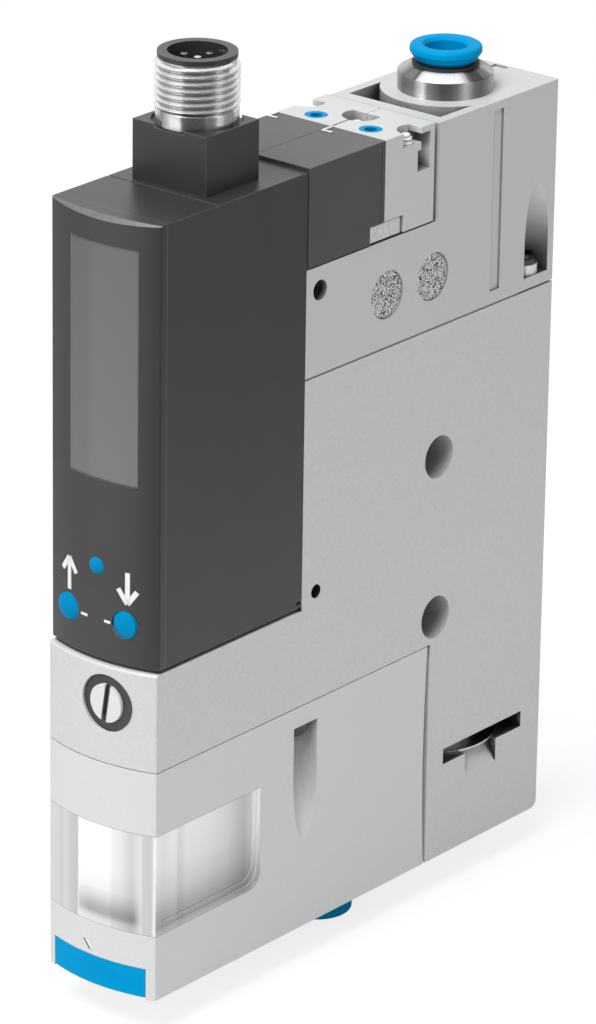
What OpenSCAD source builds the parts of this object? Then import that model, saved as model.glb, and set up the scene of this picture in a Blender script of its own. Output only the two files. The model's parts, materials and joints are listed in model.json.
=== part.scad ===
// Vacuum ejector module with vacuum switch, two pilot valves and a filter drawer.
// +Z is up, the display faces -Y and X is the narrow width of the module.
// The origin lies midway between the two mounting holes. Lengths are in millimetres.

/* [Module] */
// Width of the module
module_w = 20; // [19:0.5:26]
// Bulge of the curved front
front_sag = 1.85; // [1:0.05:2.6]
// Rounding of the upright front edges
front_edge_r = 0.3; // [0.2:0.1:1.4]
// Rounding of the upright back edges
back_edge_r = 0.3; // [0.2:0.1:2]
// Rounding of the bottom back edge
heel_r = 1.6; // [0.5:0.1:3]
// Play between pieces that are pushed together
fit_gap = 0.02; // [0.01:0.01:0.05]
// Play between pieces that slide on each other
slide_gap = 0.06; // [0.03:0.01:0.1]

/* [Main body] */
// Height of the seam between main body and filter housing
housing_h = 35.4; // [35:0.1:38]
// Height of the front part that carries the display
ledge_h = 14.8; // [14:0.1:18]
// Height of the main body above the filter housing
body_h = 49.7; // [48:0.1:54]
// Radius of the mounting holes
mount_hole_r = 3.3; // [2.2:0.1:3.4]
// Distance between the mounting holes
mount_pitch = 25.3; // [25:0.1:26]
// Height of the lower mounting hole above the seam
mount_low_h = 4.1; // [3.9:0.1:5]
// Distance of the mounting holes from the back face
mount_back = 26.4; // [26:0.1:27]
// Depth of the rear leg beside the filter housing
leg_d = 27.5; // [27:0.1:27.8]
// Gap between the rear leg and the filter housing
leg_gap = 0.55; // [0.1:0.05:0.8]
// Hollow of the filter housing's back face
back_bow = 0.55; // [0.2:0.05:0.8]
// Height of the groove along the seam under the head
seam_groove_h = 0.35; // [0.15:0.05:0.5]
// Height and depth of the line along the filter housing's top
seam_line = 0.14; // [0.1:0.02:0.3]
// Width of the chamfer along the front ledge's top
ledge_chamfer = 0.3; // [0.1:0.05:0.6]

/* [Ejector] */
// Distance of the ejector axis from the back face
ejector_back = 14.2; // [13.5:0.1:15]
// Outer radius of the nozzles
nozzle_r = 4.0; // [3.6:0.1:4.5]
// Radius of the throat of the jet nozzle
jet_throat_r = 0.5; // [0.3:0.05:0.9]
// Length of the thick part of the jet nozzle
jet_body_l = 15; // [12:0.5:17]
// Length of the thin tip of the jet nozzle
jet_tip_l = 8; // [6:0.5:9]
// Radius of the thin tips
tip_r = 2.2; // [1.6:0.1:2.6]
// Gap between jet nozzle and receiver nozzle
jet_gap = 1.4; // [0.8:0.1:2]
// Length of the thin part of the receiver nozzle
receiver_tip_l = 11; // [11:0.5:13]
// Length of the thick part of the receiver nozzle
receiver_body_l = 8; // [6:0.5:9]
// Radius of the throat of the receiver nozzle
receiver_throat_r = 1.0; // [0.6:0.1:1.4]
// Thickness of the seal rings on the nozzles
nozzle_seal_t = 1.1; // [0.8:0.1:1.4]
// Radius of the jet nozzle's flange
jet_flange_r = 4.8; // [4.5:0.1:5.2]
// Thickness of the jet nozzle's flange
jet_flange_t = 1.5; // [1:0.1:2]
// Radius of the silencer
silencer_r = 6; // [5:0.1:6.3]
// Room between the silencer and the receiver nozzle
silencer_room = 4.3; // [3:0.1:8]
// Radius of the neck that the silencer is held by
silencer_neck_r = 4.6; // [3.5:0.1:4.9]
// Wall of the silencer
silencer_wall = 1.5; // [1:0.1:1.8]
// Height of the slot for the clip above the bottom
slot_z = 14.8; // [12:0.1:16]
// Height of the slot for the clip
slot_h = 2.5; // [2:0.1:3]
// Length of the slot for the clip
slot_l = 19; // [17:0.1:20]
// Thickness of the clip
clip_t = 0.3; // [0.2:0.1:1.2]
// Radius of the curved outer edge of the clip
clip_edge_r = 11.5; // [10:0.1:14]
// Distance of the clip's edge from the side of the body
clip_inset = 0.35; // [0.2:0.05:1]

/* [Valve head] */
// Height of the low part that carries the valves
shelf_h = 16.5; // [16:0.1:18]
// Height of the tall part that carries the supply port
head_h = 31.2; // [29:0.1:34]
// Depth of the tall part
head_d = 28.55; // [28:0.05:30]
// Radius of the round boss in the head's top
boss_r = 9.5; // [9:0.1:9.8]
// Depth of the pockets beside the boss
pocket_depth = 9; // [2:0.5:10]
// Thickness of the rim round the pockets
pocket_rim = 1.6; // [1.2:0.1:2.2]
// Thickness of the head's front rim
pocket_front = 2.6; // [2:0.1:3]
// Radius of the porous vent discs
vent_r = 3.5; // [2.5:0.1:3.8]
// Thickness of the porous vent discs
vent_t = 1.6; // [1:0.1:2.5]
// Distance between the vent discs
vent_pitch = 10.5; // [9:0.1:11]
// Height of the vent discs above the head's bottom
vent_h = 8.2; // [7.5:0.1:9]

/* [Screw recesses] */
// Radius of the recesses over the head screws
head_recess_r = 2.85; // [2.4:0.05:3]
// Lean of the recesses over the head screws
head_recess_lean = 18; // [14:1:20]
// Thickness of the flange under the head screws
head_flange_t = 2.1; // [1.5:0.1:3]
// Distance of the head screws from the back face
head_screw_back = 4.35; // [4.2:0.05:4.6]
// Radius of the recesses under the housing screws
housing_recess_r = 2.65; // [2.3:0.05:2.9]
// Lean of the recesses under the housing screws
housing_recess_lean = 15; // [12:1:18]
// Thickness of the flange above the housing screws
housing_flange_t = 3.2; // [2.5:0.1:4]
// Distance of the housing screws from the front corners
housing_screw_y = 33; // [32.5:0.1:34]
// Distance of the screws from the middle of the module
screw_x = 7.35; // [7:0.05:7.4]
// Radius of the screw heads
screw_head_r = 2.35; // [1.8:0.05:2.4]
// Height of the screw heads
screw_head_h = 2.1; // [1.4:0.1:2.3]
// Radius of the screw shanks
screw_shank_r = 1.25; // [1:0.05:1.4]
// Length of the screws below their heads
screw_l = 12; // [8:0.5:14]

/* [Filter] */
// Height of the window's lower edge
window_z = 10; // [9:0.1:11]
// Height of the window
window_h = 15.6; // [14:0.1:16.5]
// Depth of the window
window_d = 23.05; // [22:0.05:24]
// Rounding of the window's lower back corner
window_r = 2.4; // [1:0.1:3]
// Side wall of the clear cup
cup_wall = 2.4; // [1.8:0.1:2.6]
// Front wall of the clear cup at its corners
cup_front = 2.8; // [2:0.1:3.2]
// Floor of the clear cup
cup_floor = 1.9; // [1.5:0.1:2.5]
// Back wall of the clear cup
cup_back = 2.8; // [2.2:0.1:3]
// Radius of the filter element
filter_r = 6.8; // [6:0.1:7]
// Radius of the hole in the filter element
filter_hole_r = 3.2; // [2.5:0.1:3.6]
// Thickness of the seal on the filter element
filter_seal_t = 0.4; // [0.3:0.05:0.6]
// Radius of the air channels
channel_r = 2.0; // [1.5:0.1:2.1]
// Width of the beads that frame the window
bead_w = 0.35; // [0.2:0.05:0.5]

/* [Release slide] */
// Width of the release slide
slide_w = 17.1; // [14:0.1:17.6]
// Height of the release slide
slide_h = 4.4; // [3.5:0.1:5]
// Thickness of the release slide
slide_t = 1.8; // [1.4:0.1:2.2]
// Height of the slide's lower edge above the bottom
slide_z = 0.3; // [0.2:0.1:1]
// Width of the tongue behind the slide
tongue_w = 5; // [3:0.5:8]
// Thickness of the tongue behind the slide
tongue_t = 1.6; // [1:0.1:2]

/* [Display] */
// Width of the display housing
display_w = 19.9; // [18.8:0.1:20]
// Height of the display housing
display_h = 65.9; // [64:0.1:67]
// Distance of the display's back from the front corners
display_back = 31.7; // [31:0.1:32]
// Distance that the display stands back from the body's front
display_set = 0.6; // [0.3:0.05:0.8]
// Distance of the joint between cover and housing from the front corners
cover_y = 1.8; // [1.6:0.1:2.2]
// Wall of the display housing
display_wall = 1.4; // [1.1:0.1:1.8]
// Height of the dark joint under the display
plinth_h = 0.7; // [0.4:0.1:1]
// Distance of the seam in the display's top from the front corners
top_seam_y = 12.2; // [10:0.1:13]
// Width of the chamfer in the middle of the cover's top edge
cover_chamfer = 0.7; // [0.4:0.1:1.2]
// Width of the chamfer at the ends of the cover's top edge
cover_chamfer_end = 0.15; // [0.1:0.05:0.4]
// Width of the screen
screen_w = 12.3; // [10:0.1:13]
// Distance of the screen's upper edge below the display's top
screen_margin = 4.1; // [3.5:0.1:6]
// Sideways offset of the screen
screen_x = 0.5; // [0:0.1:0.8]
// Height of the screen's lower edge above the display's bottom
screen_z = 27.4; // [26:0.1:28]
// Radius of the two large buttons
button_r = 2.05; // [1.7:0.05:2.3]
// Radius of the small button
set_button_r = 1.27; // [1:0.05:1.5]
// Distance between the two large buttons
button_pitch = 10.4; // [9.5:0.1:11]
// Sideways offset of the middle of the buttons
button_x = -0.5; // [-1:0.1:0]
// Height of the two large buttons above the display's bottom
button_z = 6.6; // [6:0.1:8]
// Height of the small button above the display's bottom
set_button_z = 14.35; // [13:0.05:15]
// Height of the buttons' domes over the cover
button_dome = 0.55; // [0.4:0.05:0.8]
// Travel of the buttons
button_travel = 0.4; // [0.3:0.05:0.5]
// Thickness of the circuit boards
board_t = 1.5; // [1:0.1:1.6]
// Side length of the pressure sensor
sensor_w = 7; // [5:0.5:8]
// Radius of the pressure sensor's tube
sensor_tube_r = 1.3; // [1:0.1:1.6]
// Height of the display's fixing lugs
lug_h = 4; // [3.6:0.1:5]
// Length of the display's fixing lugs
lug_l = 5.4; // [5:0.1:6]
// Radius of the fixing screw's head
lug_screw_r = 1.5; // [1.2:0.1:1.7]

/* [Electrical plug] */
// Distance of the plug's axis from the front corners
plug_y = 19.5; // [19:0.1:20]
// Width of the plug's block
plug_block_w = 13.3; // [13:0.1:14]
// Depth of the plug's block
plug_block_d = 11.3; // [11:0.1:11.6]
// Height of the plug's block
plug_block_h = 8.7; // [7:0.1:10]
// Radius of the round seat in the block's top
plug_seat_r = 6.45; // [6.3:0.05:6.6]
// Depth of the round seat in the block's top
plug_seat_depth = 0.5; // [0.3:0.1:1.2]
// Outer radius of the plug's thread
plug_thread_r = 6.0; // [5.95:0.05:6.2]
// Length of the plug's thread
plug_thread_l = 7.1; // [6:0.1:8]
// Radius of the plug's collar
plug_collar_r = 5.65; // [5.5:0.05:5.8]
// Height of the plug's collar
plug_collar_h = 2.5; // [2:0.1:3.5]
// Outer radius of the insert
plug_insert_r = 5.0; // [4.9:0.05:5.1]
// Height of the insert's rim over the thread
plug_rim_h = 0.75; // [0.5:0.05:1.5]
// Radius of the plug's socket
plug_socket_r = 4.24; // [4:0.02:4.4]
// Depth of the plug's socket
plug_socket_depth = 8; // [6:0.5:9]
// Radius of the contact pins
pin_r = 0.5; // [0.35:0.05:0.6]
// Distance of the outer contact pins from the middle
pin_ring_r = 2.5; // [2:0.1:2.8]
// Depth of the pins' tips below the rim
pin_tip_depth = 1; // [0.8:0.1:3]

/* [Pilot valves] */
// Length of a coil
coil_l = 16.9; // [16:0.1:18]
// Length of a valve body
valve_l = 11.2; // [11:0.1:11.4]
// Height of coils and valve bodies
valve_h = 14.7; // [14:0.1:16]
// Thickness of the gasket under the valves
gasket_t = 0.3; // [0.2:0.05:0.5]
// Gap between coils and display
coil_gap = 0.3; // [0.1:0.05:0.5]
// Gap between the valves and the head's tall part
valve_play = 0.65; // [0.3:0.05:0.9]
// Gap between the two valves
valve_gap = 0.1; // [0.06:0.02:0.3]
// Radius of the plungers
plunger_r = 2.4; // [2:0.1:2.8]
// Length of the plungers
plunger_l = 9; // [7:0.5:10]
// Travel of the plungers
plunger_travel = 0.6; // [0.4:0.1:0.8]
// Radius of the manual overrides
override_r = 1.65; // [1.3:0.05:1.8]
// Length of the manual overrides
override_l = 3; // [2.5:0.1:4]
// Travel of the manual overrides
override_travel = 0.6; // [0.4:0.1:0.8]
// Distance of the manual overrides from the valves' front
override_y = 2.8; // [2.4:0.1:3]
// Depth of the dip in the manual overrides
override_dip = 0.8; // [0.3:0.1:1.2]
// Radius of the round screw pockets
screw_pocket_r = 2.75; // [2.4:0.05:2.9]
// Depth of the round screw pockets
screw_pocket_depth = 2.1; // [1.6:0.1:3.5]
// Distance of the valve screws from the valves' front
valve_screw_y = 5.9; // [5.7:0.1:6.2]
// Radius of the valve screws' heads
valve_screw_r = 0.8; // [0.6:0.05:0.85]
// Height of the clips at the valves' feet
foot_clip_h = 2.35; // [1.8:0.05:3]
// Length of the clips at the valves' feet
foot_clip_l = 6.8; // [5:0.1:8]
// Thickness of the clips at the valves' feet
foot_clip_t = 0.9; // [0.6:0.1:1.2]

/* [Tube ports] */
// Radius of the tube that is pushed in
tube_r = 3.0; // [2:0.5:3]
// Distance of the vacuum port from the front corners
vacuum_y = 48.5; // [47:0.1:50]
// Radius of the metal flange
flange_r = 7; // [6:0.05:7.2]
// Height of the supply port's flange
supply_flange_h = 2.95; // [2:0.05:4]
// Height of the vacuum port's flange
vacuum_flange_h = 1.8; // [1.2:0.05:2.5]
// Radius of the fitting's shank
shank_r = 5.0; // [4.8:0.05:5.2]
// Length of the fitting's shank
shank_l = 13; // [12.5:0.1:14]
// Radius of the release collar's flange
collar_r = 5.28; // [5:0.02:5.6]
// Thickness of the release collar's flange
collar_t = 2.05; // [1.4:0.05:2.4]
// Travel of the release collars
collar_travel = 0.5; // [0.3:0.05:0.6]
// Wall of the release collar's sleeve
collar_wall = 0.8; // [0.6:0.05:0.9]
// Height of the dark ring on the fitting's neck
neck_ring_h = 0.45; // [0.3:0.05:1]

/* [Flow screw and check valve] */
// Sideways offset of the flow screw
flow_x = 2.1; // [1:0.1:3]
// Height of the flow screw above the seam
flow_h = 9.1; // [8:0.1:10]
// Radius of the dark bush round the flow screw
flow_bush_r = 4.3; // [3.6:0.05:4.6]
// Radius of the flow screw's head
flow_head_r = 2.85; // [2:0.05:3.1]
// Width of the slot in the flow screw's head
flow_slot_w = 0.95; // [0.5:0.05:1.2]
// Radius of the flow screw's stem
flow_stem_r = 1.7; // [1.2:0.1:1.9]
// Length of the flow screw's stem
flow_stem_l = 9; // [6:0.5:10]
// Distance of the check valve from the front corners
check_y = 42; // [41:0.5:43]
// Radius of the check valve's disc
check_r = 3.4; // [2.8:0.1:3.6]
// Thickness of the check valve's disc
check_t = 1.2; // [0.8:0.1:1.6]
// Lift of the check valve's disc
check_lift = 1.5; // [0.8:0.1:2]

/* [Hidden] */
$fn = 96;
half_w = module_w / 2;
front_r = (half_w * half_w + front_sag * front_sag) / (2 * front_sag);
body_top = housing_h + body_h;
ledge_top = housing_h + ledge_h;
shelf_z = body_top + shelf_h;
head_top = body_top + head_h;
coil_y = display_back + coil_gap;
valve_y = coil_y + coil_l;
head_y = valve_y + valve_l + valve_play;
module_d = head_y + head_d;
leg_y = module_d - leg_d;
filter_d = leg_y - leg_gap;
mount_y = module_d - mount_back;
mount_z = housing_h + mount_low_h;
mount_mid_z = mount_z + mount_pitch / 2;
ejector_y = module_d - ejector_back;
past = 1;

jet_bottom = body_top - jet_body_l;
jet_tip = jet_bottom - jet_tip_l;
receiver_top = jet_tip - jet_gap;
receiver_mid = receiver_top - receiver_tip_l;
receiver_bottom = receiver_mid - receiver_body_l;
silencer_z = 0.4;
screw_dome = 0.6;
silencer_top = receiver_bottom - silencer_room;
silencer_l = silencer_top - silencer_z;
throat_l = 5;
throat_lead = 3;
duct_r = 3;
recess_half = 3.4;
recess_h = 3.8;
recess_depth = 2;
clip_x = half_w - clip_inset - clip_edge_r;

display_half = display_w / 2;
display_top = ledge_top + display_h;
lug_z = [ledge_top + lug_h / 2 + 0.1, shelf_z - lug_h / 2 - 1.55];
lug_w = 8;
seam_w = 0.3;
vent_gap = 0.1;
vent_sink = 0.2;
lug_screw_sink = 1.1;
lug_screw_y = display_back + 3;
lug_screw_h = 1.2;
screen_bottom = ledge_top + screen_z;
screen_h = display_h - screen_z - screen_margin;
button_flange = 0.45;
button_flange_t = 0.3;
button_gap = 0.05;
mat_y = cover_y + 0.05 + button_flange_t + button_travel + 0.1;
mat_t = 0.65;
board_y = mat_y + mat_t;
board_margin = 0.4;
sensor_y = 20;
sensor_h = 6;
sensor_depth = 3;
sense_r = 0.8;

plug_top = display_top + plug_block_h;
seat_z = plug_top - plug_seat_depth;
thread_z = seat_z + plug_collar_h;
shell_top = thread_z + plug_thread_l;
rim_top = shell_top + plug_rim_h;
plug_foot_r = 5.9;
plug_tail_z = display_top + 0.4;
pin_top = rim_top - pin_tip_depth;
plug_key_turn = 70;
plug_key_w = 1.2;

valve_z = shelf_z + gasket_t;
valve_top = valve_z + valve_h;
valve_back = valve_y + valve_l;
valve_axis_z = valve_z + valve_h / 2;
valve_mid_x = half_w / 2;
pocket_z = valve_top - screw_pocket_depth;
valve_screw_h = screw_pocket_depth - 0.6;
screw_pocket_y = valve_y + valve_screw_y + 0.9;
valve_screw_shank_r = 0.5;
valve_screw_depth = 5;
parting = 0.35;
side_slot_depth = 3;
foot_notch_t = 2;
outlet_y = valve_y + 2.9;
inlet_y = valve_y + 8.9;
air_r = 1.2;

head_screw_y = module_d - head_screw_back;
head_floor_z = body_top + head_flange_t;
housing_ceiling_z = housing_h - housing_flange_t;
window_top = window_z + window_h;
filter_y = 12.7;
clean_z = window_top + 4.6;
dirty_z = window_z + window_h / 2;
cup_z = window_z + slide_gap;
cup_top = window_top - slide_gap;
filter_h = window_h - 2 * slide_gap - cup_floor - filter_seal_t - 0.05;
check_chamber_r = check_r + 0.9;
check_chamber_h = check_t + check_lift + 0.6;
seal_wire = 0.5;
flow_z = housing_h + flow_h;
flow_bush_l = 4;
flow_bush_y = 0.5 - front_sag;
flow_face_y = flow_bush_y - 0.45;
flow_slot_lean = 8.5;
flow_head_l = 2.4;
flow_seat_r = 0.9;

tube_bore_r = tube_r + 0.05;
sleeve_r = tube_bore_r + collar_wall;
cavity_r = sleeve_r + slide_gap;
neck_r = 4.9;
cone_h = 0.6;
cone_top_r = 5.45;
flange_fall = 0.35;
collar_foot_r = 4.6;
collar_lift = cone_h + neck_ring_h + collar_travel + 0.05;
sleeve_depth = 5.7;
claw_t = 0.9;
claw_z = -sleeve_depth - collar_travel - 0.1 - claw_t;
tube_seal_r = (cavity_r - tube_bore_r) / 2 - fit_gap;
tube_seal_z = claw_z - tube_seal_r - 0.05;
cavity_z = tube_seal_z - tube_seal_r - 0.05;
tube_stop = 1;

// Moves the module's own coordinates (front corners, bottom) to the origin between the holes
module placed() {
  translate([0, -mount_y, -mount_mid_z]) children();
}

// A box between two opposite corners
module box(low, high) {
  translate(low) cube(high - low);
}

// A round bar along Y
module bar_y(x, z, r, y0, y1) {
  translate([x, y0, z]) rotate([-90, 0, 0]) cylinder(r = r, h = y1 - y0);
}

// A round bar along X
module bar_x(y, z, r, x0, x1) {
  translate([x0, y, z]) rotate([0, 90, 0]) cylinder(r = r, h = x1 - x0);
}

// Extrudes an outline drawn in Y and Z across the width
module across(w) {
  translate([-w / 2, 0, 0]) rotate([90, 0, 90]) linear_extrude(w) children();
}

// Plan outline with the curved front, its rounded corners and a straight back
module front_plan(w, back, set_back) {
  centre_y = set_back - front_sag + front_r;
  x = w / 2 - front_edge_r;
  dy = sqrt(pow(front_r - front_edge_r, 2) - x * x);
  intersection() {
    union() {
      intersection() {
        translate([0, centre_y]) circle(r = front_r, $fn = 360);
        polygon([[0, centre_y], [-1.5 * x, centre_y - 1.5 * dy], [1.5 * x, centre_y - 1.5 * dy]]);
      }
      for (side = [-1, 1]) translate([side * x, centre_y - dy]) circle(r = front_edge_r);
      translate([-w / 2, centre_y - dy]) square([w, module_d]);
    }
    translate([-w / 2, set_back - front_sag - past])
      square([w, back - set_back + front_sag + past]);
  }
}

// Plan outline with rounded back corners
module back_plan(front) {
  translate([-half_w, front]) square([module_w, module_d - back_edge_r - front]);
  translate([back_edge_r - half_w, front])
    square([module_w - 2 * back_edge_r, module_d - front]);
  for (side = [-1, 1])
    translate([side * (half_w - back_edge_r), module_d - back_edge_r]) circle(r = back_edge_r);
}

// Side outline of a window pane, with its lower back corner rounded
module pane_outline(d, h, r) {
  translate([-3, 0]) square([d + 3 - r, h]);
  translate([-3, r]) square([d + 3, h - r]);
  translate([d - r, r]) circle(r = r);
}

// Slanted half-round groove that opens towards +X as it rises
module scoop(r, lean, l) {
  rotate([0, lean, 0]) {
    cylinder(r = r, h = l);
    translate([0, -r, 0]) cube([3 * r, 2 * r, l]);
  }
}

// Groove over a head screw, cut off flat at the flange
module head_recess() {
  intersection() {
    translate([screw_x, head_screw_y, head_floor_z - 3])
      scoop(head_recess_r, head_recess_lean, head_h + 5);
    box([0, head_screw_y - 2 * head_recess_r, head_floor_z], [half_w + past, module_d, head_top]);
  }
}

// Groove under a housing screw, cut off flat at the flange
module housing_recess() {
  intersection() {
    translate([screw_x, housing_screw_y, housing_ceiling_z + 2])
      rotate([180, 0, 0]) scoop(housing_recess_r, housing_recess_lean, housing_h);
    box([0, housing_screw_y - 2 * housing_recess_r, 0],
        [half_w + past, housing_screw_y + 2 * housing_recess_r, housing_ceiling_z]);
  }
}

// Cap screw with its head's underside at the origin and its shank along -Z
module cap_screw() {
  difference() {
    union() {
      cylinder(r = screw_head_r, h = screw_head_h - screw_dome);
      translate([0, 0, screw_head_h - screw_dome])
        cylinder(r1 = screw_head_r, r2 = screw_head_r - screw_dome, h = screw_dome);
    }
    translate([0, 0, screw_head_h - 1]) cylinder(r = 1.15, h = 2, $fn = 6);
  }
  translate([0, 0, -screw_l]) cylinder(r = screw_shank_r, h = screw_l + 0.1);
}

// Ring with a round section, lying flat
module o_ring(ring_r, wire_r) {
  rotate_extrude() translate([ring_r, 0]) circle(r = wire_r, $fn = 32);
}

// Flat ring
module flat_ring(outer, inner, h) {
  difference() {
    cylinder(r = outer, h = h);
    translate([0, 0, -past]) cylinder(r = inner, h = h + 2 * past);
  }
}

module main_body() {
  color("#b4b5b5") placed() difference() {
    intersection() {
      linear_extrude(body_top) {
        front_plan(module_w, leg_y, 0);
        back_plan(display_back);
      }
      across(module_w + 2) {
        translate([-3, housing_h]) square([display_back + 4, ledge_h]);
        translate([display_back, housing_h]) square([module_d - display_back, body_h]);
        translate([leg_y, heel_r]) square([leg_d, housing_h]);
        translate([leg_y, 0]) square([leg_d - heel_r, housing_h]);
        translate([module_d - heel_r, heel_r]) circle(r = heel_r);
      }
    }
    mounting_holes();
    ejector_bores();
    vacuum_ways();
    flow_screw_bores();
    clip_slot();
    front_chamfer(0, ledge_top, ledge_chamfer, ledge_chamfer);
    display_lug_sockets(lug_z[0]);
    bar_x(lug_screw_y + 0.1, lug_z[0], 1.05, half_w - 2, half_w + past);
    for (side = [-1, 1]) {
      translate([side * screw_x, head_screw_y, head_floor_z - screw_l - 0.5])
        cylinder(r = screw_shank_r + fit_gap, h = screw_l + 5);
      translate([side * screw_x, housing_screw_y, housing_h - past])
        cylinder(r = screw_shank_r + fit_gap, h = screw_l - housing_flange_t + past + 0.5);
    }
  }
}

// Chamfer along a curved top edge, middle wide in the middle and end wide at both ends
module front_chamfer(set_back, z, middle, end) {
  sag = front_sag - middle + end;
  r = (half_w * half_w + sag * sag) / (2 * sag);
  intersection() {
    translate([0, set_back - front_sag + middle + r, z]) rotate_extrude($fn = 360)
      polygon([[r, 0.01], [r + middle + 1, -middle - 1], [r + middle + 1, 0.01]]);
    box([-module_w, set_back - front_sag - past, z - 5], [module_w, set_back + middle, z + past]);
  }
}

module mounting_holes() {
  for (z = [mount_z, mount_z + mount_pitch])
    bar_x(mount_y, z, mount_hole_r, -half_w - past, half_w + past);
}

// Stepped bore for the nozzles and the silencer
module ejector_bores() {
  translate([0, ejector_y, 0]) {
    translate([0, 0, receiver_bottom]) cylinder(r = nozzle_r + fit_gap, h = body_top);
    translate([0, 0, body_top - jet_flange_t]) cylinder(r = jet_flange_r + fit_gap, h = 5);
    translate([0, 0, silencer_top - past]) cylinder(r = duct_r, h = body_top / 2);
    translate([0, 0, -past]) cylinder(r = silencer_r + fit_gap, h = silencer_top + past);
  }
}

// Check valve chamber, its seal groove and the ways to the nozzles and the sensor
module vacuum_ways() {
  translate([0, check_y, housing_h - past]) {
    cylinder(r = check_chamber_r, h = check_chamber_h + past);
    cylinder(r = channel_r, h = mount_mid_z - housing_h + past);
    translate([0, 0, past - 0.01])
      flat_ring(check_chamber_r + 1.6, check_chamber_r + 0.5, 2 * seal_wire + 0.01);
  }
  bar_y(0, mount_mid_z, channel_r, check_y, ejector_y);
  translate([0, sensor_y, ledge_top - sensor_depth])
    cylinder(r = sensor_tube_r + fit_gap, h = sensor_depth + past);
  translate([0, sensor_y, housing_h + check_chamber_h - 1.2]) cylinder(r = sense_r, h = ledge_h);
  bar_y(0, housing_h + check_chamber_h - 1.2, sense_r, sensor_y, check_y);
}

module flow_screw_bores() {
  bar_y(flow_x, flow_z, flow_bush_r + fit_gap, -5, flow_bush_y + flow_bush_l);
  bar_y(flow_x, flow_z, flow_stem_r + slide_gap, 0, flow_face_y + flow_head_l + flow_stem_l + 2);
  bar_y(flow_x, flow_z, flow_seat_r, 0, check_y);
}

// Slot for the silencer's clip, with the finger recess under it
module clip_slot() {
  box([-half_w + 3.5, ejector_y - slot_l / 2, slot_z],
      [half_w + past, ejector_y + slot_l / 2, slot_z + slot_h]);
  translate([0, ejector_y, 0]) intersection() {
    across(4 * half_w) polygon([
      [-recess_half - 0.7, slot_z + 0.1], [-recess_half - 0.7, slot_z - recess_h + 1.4],
      [-recess_half, slot_z - recess_h], [recess_half, slot_z - recess_h],
      [recess_half, slot_z + 0.1]
    ]);
    translate([0, module_w / 2, 0]) rotate([90, 0, 0]) linear_extrude(module_w) polygon([
      [half_w - recess_depth, slot_z + 0.1], [half_w + 0.01, slot_z - recess_h],
      [half_w + past, slot_z - recess_h], [half_w + past, slot_z + 0.1]
    ]);
  }
}

// Socket for a fixing lug of the display
module display_lug_sockets(z) {
  box([-lug_w / 2 - fit_gap, display_back - past, z - lug_h / 2 - fit_gap],
      [lug_w / 2 + fit_gap, display_back + lug_l + fit_gap, z + lug_h / 2 + fit_gap]);
}

module valve_head() {
  color("#b9baba") placed() difference() {
    translate([0, 0, body_top]) intersection() {
      linear_extrude(head_h) back_plan(display_back);
      across(module_w + 2) {
        translate([display_back, 0]) square([module_d - display_back, shelf_h]);
        translate([head_y, 0]) square([head_d, head_h]);
      }
    }
    head_pockets();
    head_side_marks();
    head_seam_groove();
    head_air_ways();
    display_lug_sockets(lug_z[1]);
    bar_x(lug_screw_y, lug_z[1], 0.9 + fit_gap, -7, half_w + past);
    bar_x(lug_screw_y, lug_z[1], lug_screw_r + fit_gap, half_w - lug_screw_sink - lug_screw_h,
          half_w + past);
    for (x = [-1, 0, 1])
      translate([x * (half_w - 0.9), valve_y + valve_screw_y, shelf_z - valve_screw_depth])
        cylinder(r = valve_screw_shank_r + fit_gap, h = valve_screw_depth + past);
    for (side = [0, 1]) mirror([side, 0, 0]) {
      head_recess();
      translate([screw_x, head_screw_y, body_top - past])
        cylinder(r = screw_shank_r + fit_gap, h = head_flange_t + 2);
      translate([screw_x, head_screw_y, head_floor_z])
        cylinder(r = screw_head_r + 0.1, h = screw_head_h + 0.5);
    }
  }
}

// Groove along the seam between the head and the main body
module head_seam_groove() {
  for (x = [-half_w - past, half_w - seam_groove_h])
    box([x, display_back - past, body_top - past],
        [x + seam_groove_h + past, module_d + past, body_top + seam_groove_h]);
  box([-half_w - past, module_d - seam_groove_h, body_top - past],
      [half_w + past, module_d + past, body_top + seam_groove_h]);
}

// Pockets in the head's top, left and right of the boss round the supply port
module head_pockets() {
  rim_y = head_y + pocket_front;
  difference() {
    box([pocket_rim - half_w, rim_y, head_top - pocket_depth],
        [half_w - pocket_rim, ejector_y, head_top + past]);
    translate([0, ejector_y, 0]) cylinder(r = boss_r, h = head_top + 5);
  }
  box([-1.4, module_d - 2, head_top - 0.25], [1.1, module_d - 0.5, head_top + past]);
}

// Vent disc pockets and the shallow groove on the right side
module head_side_marks() {
  for (i = [0, 1])
    bar_x(valve_y + 1 + i * vent_pitch, body_top + vent_h, vent_r + vent_gap,
          half_w - vent_t, half_w + past);
  box([half_w - 0.3, ejector_y - 1.1, head_floor_z + 0.2],
      [half_w + past, ejector_y + 1.1, head_top - 1.3]);
}

// Bore of the supply port and the ways to the valves and to the jet nozzle
module head_air_ways() {
  port_z = head_top - shank_l;
  cross_z = port_z - 5;
  out_z = body_top + 4.4;
  translate([0, ejector_y, port_z]) cylinder(r = shank_r + fit_gap, h = shank_l + past);
  translate([0, ejector_y, cross_z]) cylinder(r = air_r, h = 6);
  bar_y(0, cross_z, air_r, inlet_y, ejector_y);
  translate([0, inlet_y, cross_z]) cylinder(r = air_r, h = shelf_z - cross_z + past);
  translate([0, outlet_y, out_z]) cylinder(r = air_r, h = shelf_z - out_z + past);
  bar_y(0, out_z, air_r, outlet_y, ejector_y);
  translate([0, ejector_y, body_top - past]) cylinder(r = air_r, h = out_z - body_top + past);
  translate([0, ejector_y, body_top - 0.01]) flat_ring(4.2, 2.9, 2 * seal_wire + 0.01);
}

module port_seal() {
  color("#202020") placed() translate([0, ejector_y, body_top + seal_wire])
    o_ring(3.55, seal_wire);
}

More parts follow.
